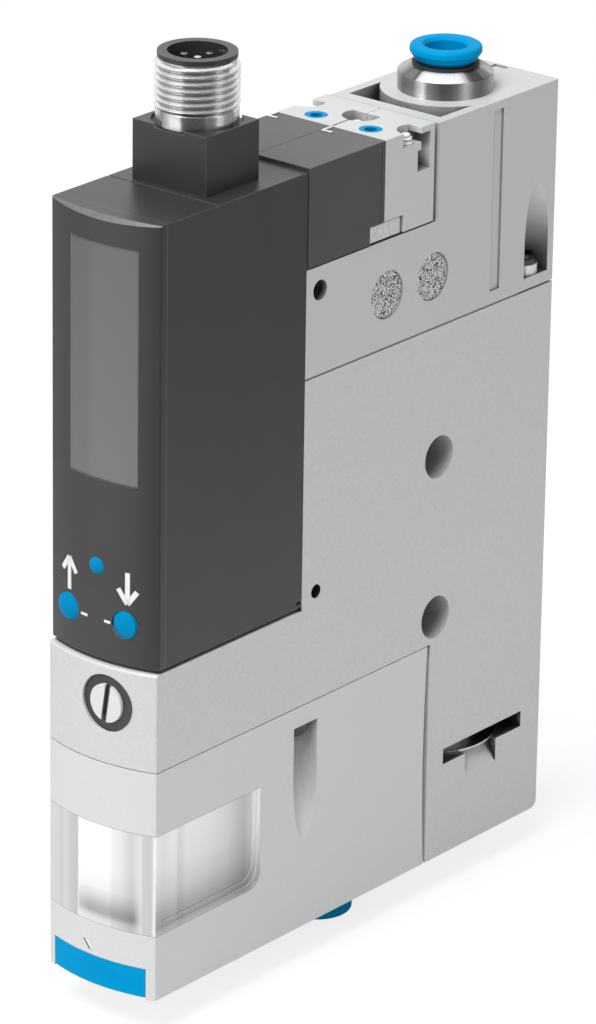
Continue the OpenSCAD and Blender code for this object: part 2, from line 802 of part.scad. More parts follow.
module filter_housing() {
  color("#c3c4c4") placed() difference() {
    linear_extrude(housing_h) front_plan(module_w, filter_d, 0);
    translate([0, 0, window_z]) across(module_w + 4) pane_outline(window_d, window_h, window_r);
    slide_recess();
    housing_seam_line();
    back_r = (pow(housing_h / 2, 2) + back_bow * back_bow) / (2 * back_bow);
    bar_x(filter_d - back_bow + back_r, housing_h / 2, back_r, -half_w - past, half_w + past);
    translate([0, vacuum_y, -past]) {
      cylinder(r = shank_r + fit_gap, h = shank_l + past);
      cylinder(r = channel_r, h = dirty_z + past);
    }
    bar_y(0, dirty_z, channel_r, window_d - past, vacuum_y);
    translate([0, filter_y, window_top - past]) cylinder(r = channel_r, h = clean_z - window_top + past);
    bar_y(0, clean_z, channel_r, filter_y, check_y);
    translate([0, check_y, clean_z]) cylinder(r = channel_r, h = housing_h);
    for (side = [0, 1]) mirror([side, 0, 0]) {
      housing_recess();
      translate([screw_x, housing_screw_y, housing_ceiling_z - 2])
        cylinder(r = screw_shank_r + fit_gap, h = housing_h);
      translate([screw_x, housing_screw_y, housing_ceiling_z - screw_head_h - 0.4])
        cylinder(r = screw_head_r + 0.1, h = screw_head_h + 0.4);
    }
    translate([-1.1, 0, slide_z + slide_h + 0.8]) rotate([90, 0, 0])
      linear_extrude(5) polygon([[-1, 1.4], [0.2, 1.4], [0.9, 0], [0.2, 0]]);
  }
}

// Thin step along the top edge of the filter housing's front and sides
module housing_seam_line() {
  difference() {
    box([-half_w - past, -front_sag - past, housing_h - seam_line],
        [half_w + past, filter_d + past, housing_h + past]);
    linear_extrude(body_top) front_plan(module_w - 2 * seam_line, filter_d + 5, seam_line);
  }
}

// Room for the release slide and the tongue behind it
module slide_recess() {
  intersection() {
    translate([0, 0, -past]) linear_extrude(slide_z + slide_h + slide_gap + past) difference() {
      translate([-half_w, -5]) square([module_w, half_w + 5]);
      translate([0, slide_t + slide_gap]) front_plan(2 * module_w, half_w + 5, 0);
    }
    box([-slide_w / 2 - slide_gap, -5, -2], [slide_w / 2 + slide_gap, half_w, housing_h]);
  }
  box([-tongue_w / 2 - slide_gap, slide_t - front_sag - 0.2, -past],
      [tongue_w / 2 + slide_gap, slide_t + tongue_t - front_sag + 0.3 + slide_gap,
       window_z + past]);
}

module housing_seal() {
  color("#202020") placed() translate([0, check_y, housing_h + seal_wire])
    o_ring(check_chamber_r + 1.05, seal_wire);
}

module filter_window() {
  color("#dfe6ea", 0.35) placed() difference() {
    intersection() {
      translate([0, 0, cup_z]) linear_extrude(cup_top - cup_z)
        front_plan(module_w, window_d - slide_gap, 0);
      translate([0, 0, cup_z]) across(module_w + 2)
        pane_outline(window_d - slide_gap, cup_top - cup_z, window_r);
    }
    box([cup_wall - half_w, cup_front, cup_z + cup_floor],
        [half_w - cup_wall, window_d - cup_back, cup_top + past]);
    bar_y(0, dirty_z, channel_r, window_d - cup_back - past, window_d + past);
    for (inset = [0.9, 1.9]) window_bead(inset);
  }
}

// Shallow line in both side faces that follows the window's lower and back edges
module window_bead(inset) {
  for (side = [-1, 1]) intersection() {
    translate([0, 0, cup_z]) across(module_w + 2) difference() {
      translate([0, inset]) pane_outline(window_d - inset, window_h + 5, window_r);
      translate([0, inset + bead_w])
        pane_outline(window_d - inset - bead_w, window_h + 5, window_r);
    }
    translate([side * (half_w - 0.05) - 0.1, 1.2, 0]) cube([0.2, window_d, housing_h]);
  }
}

module filter_element() {
  color("#f2f3f3") placed() translate([0, filter_y, cup_z + cup_floor])
    flat_ring(filter_r, filter_hole_r, filter_h);
}

module filter_seal() {
  color("#202020") placed() translate([0, filter_y, cup_z + cup_floor + filter_h])
    flat_ring(filter_r - 0.5, filter_hole_r - 0.3, filter_seal_t);
}

module release_slide() {
  color("#009bdb") placed() {
    intersection() {
      translate([0, 0, slide_z]) linear_extrude(slide_h) difference() {
        front_plan(module_w, half_w, 0);
        translate([0, slide_t]) front_plan(2 * module_w, half_w + 5, 0);
      }
      box([-slide_w / 2, -5, 0], [slide_w / 2, half_w, housing_h]);
    }
    box([-tongue_w / 2, slide_t - front_sag - 0.1, slide_z],
        [tongue_w / 2, slide_t + tongue_t - front_sag + 0.3, window_z - 0.4]);
  }
}

module display_housing() {
  color("#3f4041") placed() difference() {
    union() {
      translate([-display_half, cover_y, ledge_top + plinth_h])
        cube([display_w, display_back - cover_y, display_h - plinth_h]);
      translate([0.4 - display_half, cover_y, ledge_top])
        cube([display_w - 0.8, display_back - cover_y, display_h / 2]);
      for (z = lug_z)
        box([-lug_w / 2, display_back - display_wall, z - lug_h / 2],
            [lug_w / 2, display_back + lug_l, z + lug_h / 2]);
    }
    box([display_wall - display_half, cover_y - past, ledge_top + display_wall],
        [display_half - display_wall, display_back - display_wall, display_top - display_wall]);
    bar_x(lug_screw_y, lug_z[1], 0.9 + fit_gap, -half_w, half_w);
    bar_x(lug_screw_y, lug_z[0], 0.9, -half_w, half_w);
    translate([0, plug_y, display_top - display_wall - past])
      cylinder(r = plug_foot_r + fit_gap, h = display_wall + 2 * past);
    translate([0, sensor_y, ledge_top - past])
      cylinder(r = sensor_tube_r + fit_gap, h = display_wall + 2 * past);
    box([-display_half - past, top_seam_y, display_top - 0.2],
        [display_half + past, top_seam_y + seam_w, display_top + past]);
    box([display_half - 0.4, display_back - 1.2, ledge_top + plinth_h + 0.4],
        [display_half + past, display_back + past, ledge_top + plinth_h + 1.1]);
  }
}

module display_cover() {
  color("#3a3b3c") placed() difference() {
    union() {
      translate([0, 0, ledge_top + plinth_h]) linear_extrude(display_h - plinth_h)
        front_plan(display_w, cover_y, display_set);
      translate([0, 0, ledge_top]) linear_extrude(display_h / 2)
        front_plan(display_w - 0.8, cover_y, display_set + 0.4);
    }
    front_chamfer(display_set, display_top, cover_chamfer, cover_chamfer_end);
    screen_opening(0);
    button_hole(-1);
    button_hole(1);
    bar_y(button_x + 0.4, ledge_top + set_button_z, set_button_r + button_gap, -5, cover_y + past);
  }
}

module screen_opening(play) {
  box([screen_x - screen_w / 2 + play, -5, screen_bottom + play],
      [screen_x + screen_w / 2 - play, cover_y + past, screen_bottom + screen_h - play]);
}

module button_hole(side) {
  bar_y(button_x + side * button_pitch / 2, ledge_top + button_z, button_r + button_gap,
        -5, cover_y + past);
}

module display_lens() {
  color("#7c7d7b", 0.6) placed() intersection() {
    screen_opening(fit_gap);
    translate([0, 0, ledge_top]) linear_extrude(display_h) difference() {
      front_plan(display_w, cover_y, display_set + 0.12);
      translate([-module_w, cover_y - 0.9]) square([2 * module_w, 5]);
    }
  }
}

module lcd_panel() {
  color("#8b8c89") placed() intersection() {
    screen_opening(fit_gap);
    box([-half_w, cover_y - 0.9, 0], [half_w, cover_y, display_top]);
  }
  color("#8b8c89") placed()
    box([screen_x - screen_w / 2 - 0.6, cover_y, screen_bottom - 0.6],
        [screen_x + screen_w / 2 + 0.6, board_y, screen_bottom + screen_h + 0.6]);
}

// Domed push button with a flange that keeps it behind the cover
module push_button(x, z, r) {
  face_y = display_set - front_sag + front_r - sqrt(front_r * front_r - x * x);
  dome_r = (r * r + button_dome * button_dome) / (2 * button_dome);
  color("#009bdb") placed() translate([x, 0, z]) rotate([-90, 0, 0]) {
    intersection() {
      translate([0, 0, face_y - button_dome]) cylinder(r = r, h = cover_y + 1 - face_y + button_dome);
      translate([0, 0, face_y - button_dome + dome_r + 0.01]) sphere(r = dome_r);
      translate([0, 0, face_y - button_dome]) cylinder(r = r, h = 3 * button_dome);
    }
    translate([0, 0, face_y]) cylinder(r = r, h = cover_y + 0.1 - face_y);
    translate([0, 0, cover_y + 0.05]) cylinder(r = r + button_flange, h = button_flange_t);
  }
}

module left_button() {
  push_button(button_x - button_pitch / 2, ledge_top + button_z, button_r);
}

module right_button() {
  push_button(button_x + button_pitch / 2, ledge_top + button_z, button_r);
}

module set_button() {
  push_button(button_x + 0.4, ledge_top + set_button_z, set_button_r);
}

module button_mat() {
  color("#2b2b2c") placed()
    box([button_x - button_pitch / 2 - button_r, mat_y, ledge_top + button_z - button_r - 0.6],
        [button_x + button_pitch / 2 + button_r, board_y, ledge_top + set_button_z + set_button_r]);
}

module circuit_board() {
  color("#2c6b45") placed()
    box([display_wall + board_margin - display_half, board_y, ledge_top + display_wall + board_margin],
        [display_half - display_wall - board_margin, board_y + board_t,
         display_top - display_wall - board_margin]);
}

module control_board() {
  x = display_wall - display_half + 0.05;
  color("#2c6b45") placed()
    box([x, board_y + board_t + 0.5, ledge_top + display_wall + 1],
        [x + board_t, display_back - display_wall - 1.5, display_top - display_wall - 8]);
}

module pressure_sensor() {
  color("#d8d8d2") placed() translate([0, sensor_y, 0]) {
    translate([-sensor_w / 2, -sensor_w / 2, ledge_top + display_wall])
      cube([sensor_w, sensor_w, sensor_h]);
    difference() {
      translate([0, 0, ledge_top - sensor_depth]) cylinder(r = sensor_tube_r, h = sensor_depth + 3);
      translate([0, 0, ledge_top - sensor_depth - past]) cylinder(r = 0.5, h = sensor_depth + 3);
    }
  }
}

module display_screw() {
  color("#8d8e90") placed() {
    bar_x(lug_screw_y, lug_z[1], 0.9, -6, half_w - lug_screw_sink - lug_screw_h + 0.1);
    difference() {
      bar_x(lug_screw_y, lug_z[1], lug_screw_r, half_w - lug_screw_sink - lug_screw_h,
            half_w - lug_screw_sink);
      bar_x(lug_screw_y, lug_z[1], 0.7, half_w - lug_screw_sink - 0.7, half_w);
    }
  }
}

module plug_block() {
  color("#333435") placed() translate([0, plug_y, 0]) difference() {
    union() {
      translate([-plug_block_w / 2, -plug_block_d / 2 - 0.25, display_top])
        cube([plug_block_w, plug_block_d, plug_block_h]);
      translate([0, 0, display_top - display_wall]) cylinder(r = plug_foot_r, h = 3);
    }
    translate([0, 0, seat_z]) cylinder(r = plug_seat_r, h = plug_block_h);
    translate([0, 0, plug_tail_z]) cylinder(r = plug_insert_r + 0.4, h = plug_block_h);
    translate([0, 0, 0]) cylinder(r = pin_ring_r + 1, h = plug_top);
  }
}

module plug_shell() {
  color("#c9ccd0") placed() translate([0, plug_y, 0]) difference() {
    union() {
      translate([0, 0, plug_tail_z]) cylinder(r = plug_insert_r + 0.4 - fit_gap, h = plug_block_h);
      translate([0, 0, seat_z]) cylinder(r = plug_collar_r, h = plug_collar_h);
      translate([0, 0, thread_z]) cylinder(r = plug_thread_r, h = plug_thread_l);
    }
    translate([0, 0, 0]) cylinder(r = plug_insert_r + fit_gap, h = rim_top + past);
  }
}

module plug_insert() {
  color("#2e2f30") placed() translate([0, plug_y, 0]) {
    difference() {
      union() {
        translate([0, 0, plug_tail_z]) cylinder(r = plug_insert_r, h = shell_top - plug_tail_z + 0.1);
        translate([0, 0, shell_top]) cylinder(r = plug_insert_r + 0.62, h = plug_rim_h);
      }
      translate([0, 0, rim_top - plug_socket_depth]) cylinder(r = plug_socket_r, h = rim_top);
      pin_bars(plug_tail_z - past, rim_top, pin_r + 0.01);
    }
    rotate(plug_key_turn)
      translate([plug_socket_r - 0.5, -plug_key_w / 2, rim_top - plug_socket_depth - 0.1])
        cube([0.7, plug_key_w, plug_socket_depth - 0.65]);
  }
}

// Five bars in the pattern of the contact pins
module pin_bars(z0, z1, r) {
  translate([0, 0, z0]) cylinder(r = r, h = z1 - z0, $fn = 32);
  for (a = [0, 90, 180, 270])
    rotate(a) translate([pin_ring_r, 0, z0]) cylinder(r = r, h = z1 - z0, $fn = 32);
}

module plug_pins() {
  color("#e3c878") placed() translate([0, plug_y, 0])
    pin_bars(plug_tail_z - 0.5, pin_top, pin_r);
}

// Everything of one pilot valve is drawn on the right and mirrored for the left
module on_side(side) {
  placed() mirror([side < 0 ? 1 : 0, 0, 0]) children();
}

module coil(side) {
  color("#3c3d3e") on_side(side) difference() {
    box([valve_gap / 2, coil_y, valve_z], [half_w, valve_y, valve_top]);
    bar_y(valve_mid_x, valve_axis_z, plunger_r + slide_gap,
          valve_y - plunger_l - plunger_travel - 0.4, valve_y + past);
    foot_notch();
    box([half_w - 0.25, valve_y - 0.9, valve_z - past],
        [half_w + past, valve_y - 0.75, valve_top + past]);
  }
}

module left_coil() { coil(-1); }
module right_coil() { coil(1); }

module plunger(side) {
  color("#a9abae") on_side(side) difference() {
    bar_y(valve_mid_x, valve_axis_z, plunger_r, valve_y - plunger_l - 0.05, valve_y - 0.05);
    bar_y(valve_mid_x, valve_axis_z, plunger_r / 2, valve_y - plunger_l - past, valve_y - plunger_l + 3);
  }
}

module left_plunger() { plunger(-1); }
module right_plunger() { plunger(1); }

// Notch in the valves' feet for the clip that holds coil and valve body together
module foot_notch() {
  y = valve_y - 3.2;
  box([half_w - foot_notch_t, y, valve_z - past],
      [half_w + past, y + foot_clip_l + 0.7, valve_z + foot_clip_h + 0.25]);
}

module valve(side) {
  color("#e4e5e5") on_side(side) difference() {
    box([valve_gap / 2, valve_y, valve_z], [half_w, valve_back, valve_top]);
    translate([valve_mid_x, valve_y + override_y, valve_top - override_l - override_travel - 0.3])
      cylinder(r = override_r + slide_gap, h = valve_h);
    for (x = [0, half_w]) intersection() {
      translate([x, screw_pocket_y, pocket_z]) cylinder(r = screw_pocket_r, h = valve_h);
      box([x - 5, valve_y, 0], [x + 5, screw_pocket_y + 1.3, valve_top + past]);
    }
    box([0, valve_y - past, valve_z - past], [parting / 2, screw_pocket_y, valve_top + past]);
    for (x = [0, half_w - 0.9])
      translate([x, valve_y + valve_screw_y, valve_z - past])
        cylinder(r = valve_screw_shank_r + fit_gap, h = valve_h);
    for (y = [outlet_y, inlet_y])
      translate([0, y, valve_z - past]) cylinder(r = air_r, h = 3);
    valve_side_slot();
    foot_notch();
  }
}

// Stepped slot in the outer side of a valve body
module valve_side_slot() {
  y = valve_back - 3.1;
  x = half_w - side_slot_depth;
  box([x, y, valve_top - 6.5], [half_w + past, y + 2.15, valve_top - 0.9]);
  box([x, y - 0.75, valve_top - 6.5], [half_w + past, y + 0.1, valve_top - 3.3]);
}

module left_valve() { valve(-1); }
module right_valve() { valve(1); }

module override(side) {
  color("#009bdb") on_side(side)
    translate([valve_mid_x, valve_y + override_y, valve_top - override_l - 0.05]) difference() {
      cylinder(r = override_r, h = override_l);
      translate([0, 0, override_l - override_dip]) cylinder(r = override_r * 0.55, h = 1);
    }
}

module left_override() { override(-1); }
module right_override() { override(1); }

module valve_screws() {
  color("#c4c6c9") placed() for (x = [-1, 0, 1])
    translate([x * (half_w - 0.9), valve_y + valve_screw_y, pocket_z]) {
      cylinder(r = valve_screw_r, h = valve_screw_h);
      translate([0, 0, shelf_z - valve_screw_depth + 0.3 - pocket_z])
        cylinder(r = valve_screw_shank_r, h = pocket_z - shelf_z + valve_screw_depth);
    }
}

module valve_clips() {
  y = valve_y - 3.2;
  color("#a9aaa9") placed() for (side = [0, 1]) mirror([side, 0, 0])
    box([half_w - foot_clip_t, y, valve_z + 0.15],
        [half_w - 0.05, y + foot_clip_l, valve_z + 0.15 + foot_clip_h]);
}

module valve_gasket() {
  color("#1d1d1d") placed() difference() {
    box([0.15 - half_w, coil_y + 6, shelf_z], [half_w - 0.15, valve_back, valve_z]);
    for (y = [outlet_y, inlet_y])
      translate([0, y, shelf_z - past]) cylinder(r = air_r, h = 3);
    for (x = [-1, 0, 1])
      translate([x * (half_w - 0.9), valve_y + valve_screw_y, shelf_z - past])
        cylinder(r = valve_screw_shank_r + fit_gap, h = 3);
  }
}

// Push-in fitting with its mounting face at the origin and its mouth towards +Z
module fitting_body(flange_h) {
  color("#c6c8ca") difference() {
    rotate_extrude() polygon([
      [0, -shank_l], [shank_r, -shank_l], [shank_r, 0], [flange_r, 0],
      [flange_r, flange_h - flange_fall], [flange_r - 0.2, flange_h - flange_fall + 0.15],
      [cone_top_r, flange_h + cone_h], [0, flange_h + cone_h]
    ]);
    translate([0, 0, cavity_z]) cylinder(r = cavity_r, h = shank_l + flange_h);
    translate([0, 0, tube_stop - shank_l]) cylinder(r = tube_bore_r, h = shank_l);
    translate([0, 0, -shank_l - past]) cylinder(r = channel_r, h = shank_l);
  }
}

module fitting_ring(flange_h) {
  color("#1f1f20") translate([0, 0, flange_h + cone_h])
    flat_ring(neck_r, cavity_r, neck_ring_h);
}

module fitting_collar(flange_h) {
  low = flange_h + collar_lift;
  high = low + collar_t;
  round_r = 0.5;
  color("#009bdb") rotate_extrude() {
    polygon([
      [tube_bore_r, -sleeve_depth], [sleeve_r, -sleeve_depth], [sleeve_r, low],
      [collar_foot_r, low], [collar_r, low + collar_t / 2], [collar_r, high - round_r],
      [collar_r - round_r, high], [tube_bore_r + 0.4, high], [tube_bore_r, high - 0.5]
    ]);
    translate([collar_r - round_r, high - round_r]) circle(r = round_r, $fn = 48);
  }
}

// Sprung ring with teeth that grips the tube
module fitting_claw() {
  color("#d5d7da") translate([0, 0, claw_z]) difference() {
    flat_ring(cavity_r - fit_gap, tube_bore_r + 0.02, claw_t);
    for (a = [0, 60, 120])
      rotate(a) translate([-cavity_r + 0.35, -0.2, -past])
        cube([2 * cavity_r - 0.7, 0.4, claw_t + 2 * past]);
  }
}

module fitting_seal() {
  color("#1f1f20") translate([0, 0, tube_seal_z])
    o_ring((cavity_r + tube_bore_r) / 2, tube_seal_r);
}

module at_supply() {
  placed() translate([0, ejector_y, head_top]) children();
}

module at_vacuum() {
  placed() translate([0, vacuum_y, 0]) rotate([180, 0, 0]) children();
}

module supply_fitting() { at_supply() fitting_body(supply_flange_h); }
module supply_ring() { at_supply() fitting_ring(supply_flange_h); }
module supply_collar() { at_supply() fitting_collar(supply_flange_h); }
module supply_claw() { at_supply() fitting_claw(); }
module supply_seal() { at_supply() fitting_seal(); }
module vacuum_fitting() { at_vacuum() fitting_body(vacuum_flange_h); }
module vacuum_ring() { at_vacuum() fitting_ring(vacuum_flange_h); }
module vacuum_collar() { at_vacuum() fitting_collar(vacuum_flange_h); }
module vacuum_claw() { at_vacuum() fitting_claw(); }
module vacuum_seal() { at_vacuum() fitting_seal(); }

module flow_screw() {
  stem_y = flow_face_y + flow_head_l;
  needle_y = stem_y + flow_stem_l;
  color("#c9cbcc") placed() translate([flow_x, 0, flow_z]) difference() {
    rotate([-90, 0, 0]) rotate_extrude() polygon([
      [0, flow_face_y], [flow_head_r, flow_face_y], [flow_head_r, stem_y],
      [flow_stem_r, stem_y], [flow_stem_r, needle_y], [0.7, needle_y + 0.6],
      [0.15, needle_y + 1.9], [0, needle_y + 1.9]
    ]);
    rotate([0, flow_slot_lean, 0])
      translate([-flow_slot_w / 2, flow_face_y - past, -flow_head_r - past])
        cube([flow_slot_w, past + 0.8, 2 * (flow_head_r + past)]);
  }
}

module flow_bush() {
  color("#252627") placed() difference() {
    bar_y(flow_x, flow_z, flow_bush_r, flow_bush_y, flow_bush_y + flow_bush_l);
    bar_y(flow_x, flow_z, flow_head_r + slide_gap, flow_face_y - past, flow_face_y + flow_head_l + 0.05);
    bar_y(flow_x, flow_z, flow_stem_r + slide_gap, 0, flow_face_y + 5 + flow_bush_l);
  }
}

module check_disc() {
  color("#242424") placed() translate([0, check_y, housing_h + 0.03])
    cylinder(r = check_r, h = check_t);
}

module vent_discs() {
  color("#8f9090") placed() for (i = [0, 1])
    bar_x(valve_y + 1 + i * vent_pitch, body_top + vent_h, vent_r, half_w - vent_t, half_w - vent_sink);
}

module jet_nozzle() {
  color("#c8a951") placed() translate([0, ejector_y, 0]) rotate_extrude() difference() {
    union() {
      translate([0, jet_bottom]) square([nozzle_r, jet_body_l]);
      translate([0, body_top - jet_flange_t]) square([jet_flange_r, jet_flange_t]);
      translate([0, jet_tip]) square([tip_r, jet_tip_l + 0.1]);
    }
    polygon([
      [0, jet_tip - 0.1], [jet_throat_r + 0.3, jet_tip - 0.1], [jet_throat_r, jet_tip + throat_lead],
      [tip_r - 0.7, jet_bottom], [tip_r - 0.7, body_top + 0.1], [0, body_top + 0.1]
    ]);
    translate([nozzle_r - nozzle_seal_t, jet_bottom + jet_body_l / 2])
      square([nozzle_seal_t + 1, nozzle_seal_t + 0.1]);
  }
}

module receiver_nozzle() {
  color("#c8a951") placed() translate([0, ejector_y, 0]) rotate_extrude() difference() {
    union() {
      translate([0, receiver_bottom]) square([nozzle_r, receiver_body_l]);
      translate([0, receiver_mid - 0.1]) square([tip_r, receiver_tip_l + 0.1]);
    }
    polygon([
      [0, receiver_top + 0.1], [tip_r - 0.3, receiver_top + 0.1],
      [receiver_throat_r, receiver_top - throat_lead],
      [receiver_throat_r, receiver_top - throat_lead - throat_l],
      [receiver_throat_r + 1.4, receiver_bottom - 0.1], [0, receiver_bottom - 0.1]
    ]);
    translate([nozzle_r - nozzle_seal_t, receiver_bottom + receiver_body_l / 2])
      square([nozzle_seal_t + 1, nozzle_seal_t + 0.1]);
  }
}

module nozzle_seals() {
  wire = nozzle_seal_t / 2;
  color("#202020") placed() translate([0, ejector_y, wire + 0.05])
    for (z = [jet_bottom + jet_body_l / 2, receiver_bottom + receiver_body_l / 2])
      translate([0, 0, z]) o_ring(nozzle_r - wire + fit_gap / 2, wire);
}

module silencer() {
  color("#e9e8e2") placed() translate([0, ejector_y, 0]) difference() {
    translate([0, 0, silencer_z]) cylinder(r = silencer_r, h = silencer_l);
    translate([0, 0, slot_z]) flat_ring(silencer_r + 1, silencer_neck_r, slot_h);
    translate([0, 0, silencer_z + 3]) cylinder(r = silencer_neck_r - silencer_wall, h = silencer_l);
  }
}

module silencer_clip() {
  color("#d3d5d8") placed() translate([0, ejector_y, slot_z]) linear_extrude(clip_t)
    difference() {
      intersection() {
        translate([clip_x, 0]) circle(r = clip_edge_r);
        translate([-5.5, 0.1 - slot_l / 2]) square([module_w, slot_l - 0.2]);
      }
      circle(r = silencer_neck_r + slide_gap);
      translate([-module_w, -silencer_neck_r - slide_gap])
        square([module_w, 2 * (silencer_neck_r + slide_gap)]);
    }
}

module head_screws() {
  color("#d0d2d4") placed() for (side = [-1, 1])
    translate([side * screw_x, head_screw_y, head_floor_z]) cap_screw();
}

module housing_screws() {
  color("#6d6e70") placed() for (side = [-1, 1])
    translate([side * screw_x, housing_screw_y, housing_ceiling_z]) rotate([180, 0, 0]) cap_screw();
}

main_body();
valve_head();
port_seal();
filter_housing();
housing_seal();
filter_window();
filter_element();
filter_seal();
release_slide();
display_housing();
display_cover();
display_lens();
lcd_panel();
button_mat();
left_button();
right_button();
set_button();
circuit_board();
control_board();
pressure_sensor();
display_screw();
plug_block();
plug_shell();
plug_insert();
plug_pins();
left_coil();
right_coil();
left_plunger();
right_plunger();
left_valve();
right_valve();
left_override();
right_override();
valve_screws();
valve_clips();
valve_gasket();
supply_fitting();
supply_ring();
supply_collar();
supply_claw();
supply_seal();
vacuum_fitting();
vacuum_ring();
vacuum_collar();
vacuum_claw();
vacuum_seal();
flow_screw();
flow_bush();
check_disc();
vent_discs();
jet_nozzle();
receiver_nozzle();
nozzle_seals();
silencer();
silencer_clip();
head_screws();
housing_screws();
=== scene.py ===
import bpy
import json
import math
from mathutils import Matrix, Vector


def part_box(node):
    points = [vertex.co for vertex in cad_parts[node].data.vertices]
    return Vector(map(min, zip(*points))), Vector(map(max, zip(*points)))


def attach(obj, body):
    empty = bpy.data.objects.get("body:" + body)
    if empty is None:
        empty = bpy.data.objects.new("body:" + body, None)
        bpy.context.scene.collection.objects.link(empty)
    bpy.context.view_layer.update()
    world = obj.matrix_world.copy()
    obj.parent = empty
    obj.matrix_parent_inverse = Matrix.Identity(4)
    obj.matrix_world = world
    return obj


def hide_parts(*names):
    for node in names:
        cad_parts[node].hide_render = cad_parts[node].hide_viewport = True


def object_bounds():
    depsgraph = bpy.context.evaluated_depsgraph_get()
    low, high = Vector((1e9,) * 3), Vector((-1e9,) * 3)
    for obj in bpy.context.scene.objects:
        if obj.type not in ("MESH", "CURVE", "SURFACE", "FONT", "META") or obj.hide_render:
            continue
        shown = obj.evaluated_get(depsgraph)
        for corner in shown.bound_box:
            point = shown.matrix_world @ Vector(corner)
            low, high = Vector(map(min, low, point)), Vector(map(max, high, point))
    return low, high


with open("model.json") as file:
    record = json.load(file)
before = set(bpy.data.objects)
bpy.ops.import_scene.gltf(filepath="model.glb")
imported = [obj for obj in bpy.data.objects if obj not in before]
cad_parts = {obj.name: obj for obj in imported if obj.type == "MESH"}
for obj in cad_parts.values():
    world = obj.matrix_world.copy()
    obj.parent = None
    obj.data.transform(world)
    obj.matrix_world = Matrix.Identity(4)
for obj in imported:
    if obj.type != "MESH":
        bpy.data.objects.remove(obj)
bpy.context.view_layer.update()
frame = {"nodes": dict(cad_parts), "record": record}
nodes = frame["nodes"]
MM = 0.001
WHITE = (1, 1, 1, 1)
# Width of the painted highlight along edges.
EDGE_HIGHLIGHT_MM = 0.18
SMOOTH_ANGLE = math.radians(35)


# ---------- finishes ----------

def new_finish(name, color, roughness, metallic=0.0, specular=0.5):
    """Starts a finish and gives back its material, its nodes and its shader."""
    material = bpy.data.materials.new(name)
    material.use_nodes = True
    tree = material.node_tree
    shader = tree.nodes["Principled BSDF"]
    shader.inputs["Base Color"].default_value = (*color, 1.0)
    shader.inputs["Roughness"].default_value = roughness
    shader.inputs["Metallic"].default_value = metallic
    shader.inputs["Specular IOR Level"].default_value = specular
    return material, tree, shader


def object_place(tree):
    """The piece's own coordinates, in metres."""
    return tree.nodes.new("ShaderNodeTexCoord").outputs["Object"]


def own_axes(tree):
    """The piece's own X, Y and Z, each by itself."""
    split = tree.nodes.new("ShaderNodeSeparateXYZ")
    tree.links.new(object_place(tree), split.inputs["Vector"])
    return split.outputs


def feed(tree, source, socket):
    """Links a source to a socket, or sets the socket where the source is a plain value."""
    if isinstance(source, (int, float, tuple)):
        socket.default_value = source
    else:
        tree.links.new(source, socket)


def worked_out(tree, operation, *values):
    """A number worked out from links or plain numbers."""
    step = tree.nodes.new("ShaderNodeMath")
    step.operation = operation
    for socket, value in zip(step.inputs, values):
        feed(tree, value, socket)
    return step.outputs[0]


def spanned(tree, value, start, end, low=0.0, high=1.0):
    """A value between start and end, carried over to low and high."""
    span = tree.nodes.new("ShaderNodeMapRange")
    span.inputs["From Min"].default_value = start
    span.inputs["From Max"].default_value = end
    span.inputs["To Min"].default_value = low
    span.inputs["To Max"].default_value = high
    tree.links.new(value, span.inputs["Value"])
    return span.outputs["Result"]


def mixed(tree, factor, first, second, blend="MIX"):
    """Two colours mixed by a factor."""
    mix = tree.nodes.new("ShaderNodeMix")
    mix.data_type = "RGBA"
    mix.blend_type = blend
    feed(tree, factor, mix.inputs["Factor"])
    feed(tree, first, mix.inputs["A"])
    feed(tree, second, mix.inputs["B"])
    return mix.outputs["Result"]


def speckle(tree, grain_mm, detail=2.0, rough=0.6):
    """Noise whose spots are about grain_mm across."""
    noise = tree.nodes.new("ShaderNodeTexNoise")
    noise.inputs["Scale"].default_value = 1.0 / (grain_mm * MM)
    noise.inputs["Detail"].default_value = detail
    noise.inputs["Roughness"].default_value = rough
    tree.links.new(object_place(tree), noise.inputs["Vector"])
    return noise.outputs["Fac"]


def tones(tree, factor, stops):
    """A ramp from a list of (place, colour)."""
    ramp = tree.nodes.new("ShaderNodeValToRGB")
    ramp.color_ramp.elements[0].position = stops[0][0]
    ramp.color_ramp.elements[0].color = (*stops[0][1], 1.0)
    ramp.color_ramp.elements[1].position = stops[-1][0]
    ramp.color_ramp.elements[1].color = (*stops[-1][1], 1.0)
    for place, color in stops[1:-1]:
        ramp.color_ramp.elements.new(place).color = (*color, 1.0)
    tree.links.new(factor, ramp.inputs["Fac"])
    return ramp.outputs["Color"]


def shade(color, k):
    """A colour made darker or lighter by a factor."""
    return tuple(min(1.0, c * k) for c in color)


def rounded_normal(tree, width_mm):
    """The way the surface faces, with its edges rounded by width_mm."""
    edge = tree.nodes.new("ShaderNodeBevel")
    edge.samples = 6
    edge.inputs["Radius"].default_value = width_mm * MM
    return edge.outputs["Normal"]


def bumps(tree, shader, height, depth_mm, strength=1.0, edge_mm=0.0):
    """Surface relief of depth_mm, with edges that look rounded by edge_mm."""
    bump = tree.nodes.new("ShaderNodeBump")
    bump.inputs["Strength"].default_value = strength
    bump.inputs["Distance"].default_value = depth_mm * MM
    tree.links.new(height, bump.inputs["Height"])
    if edge_mm:
        tree.links.new(rounded_normal(tree, edge_mm), bump.inputs["Normal"])
    tree.links.new(bump.outputs["Normal"], shader.inputs["Normal"])


def multiplied(tree, first, second):
    """The product of two colours."""
    return mixed(tree, 1.0, first, second, "MULTIPLY")


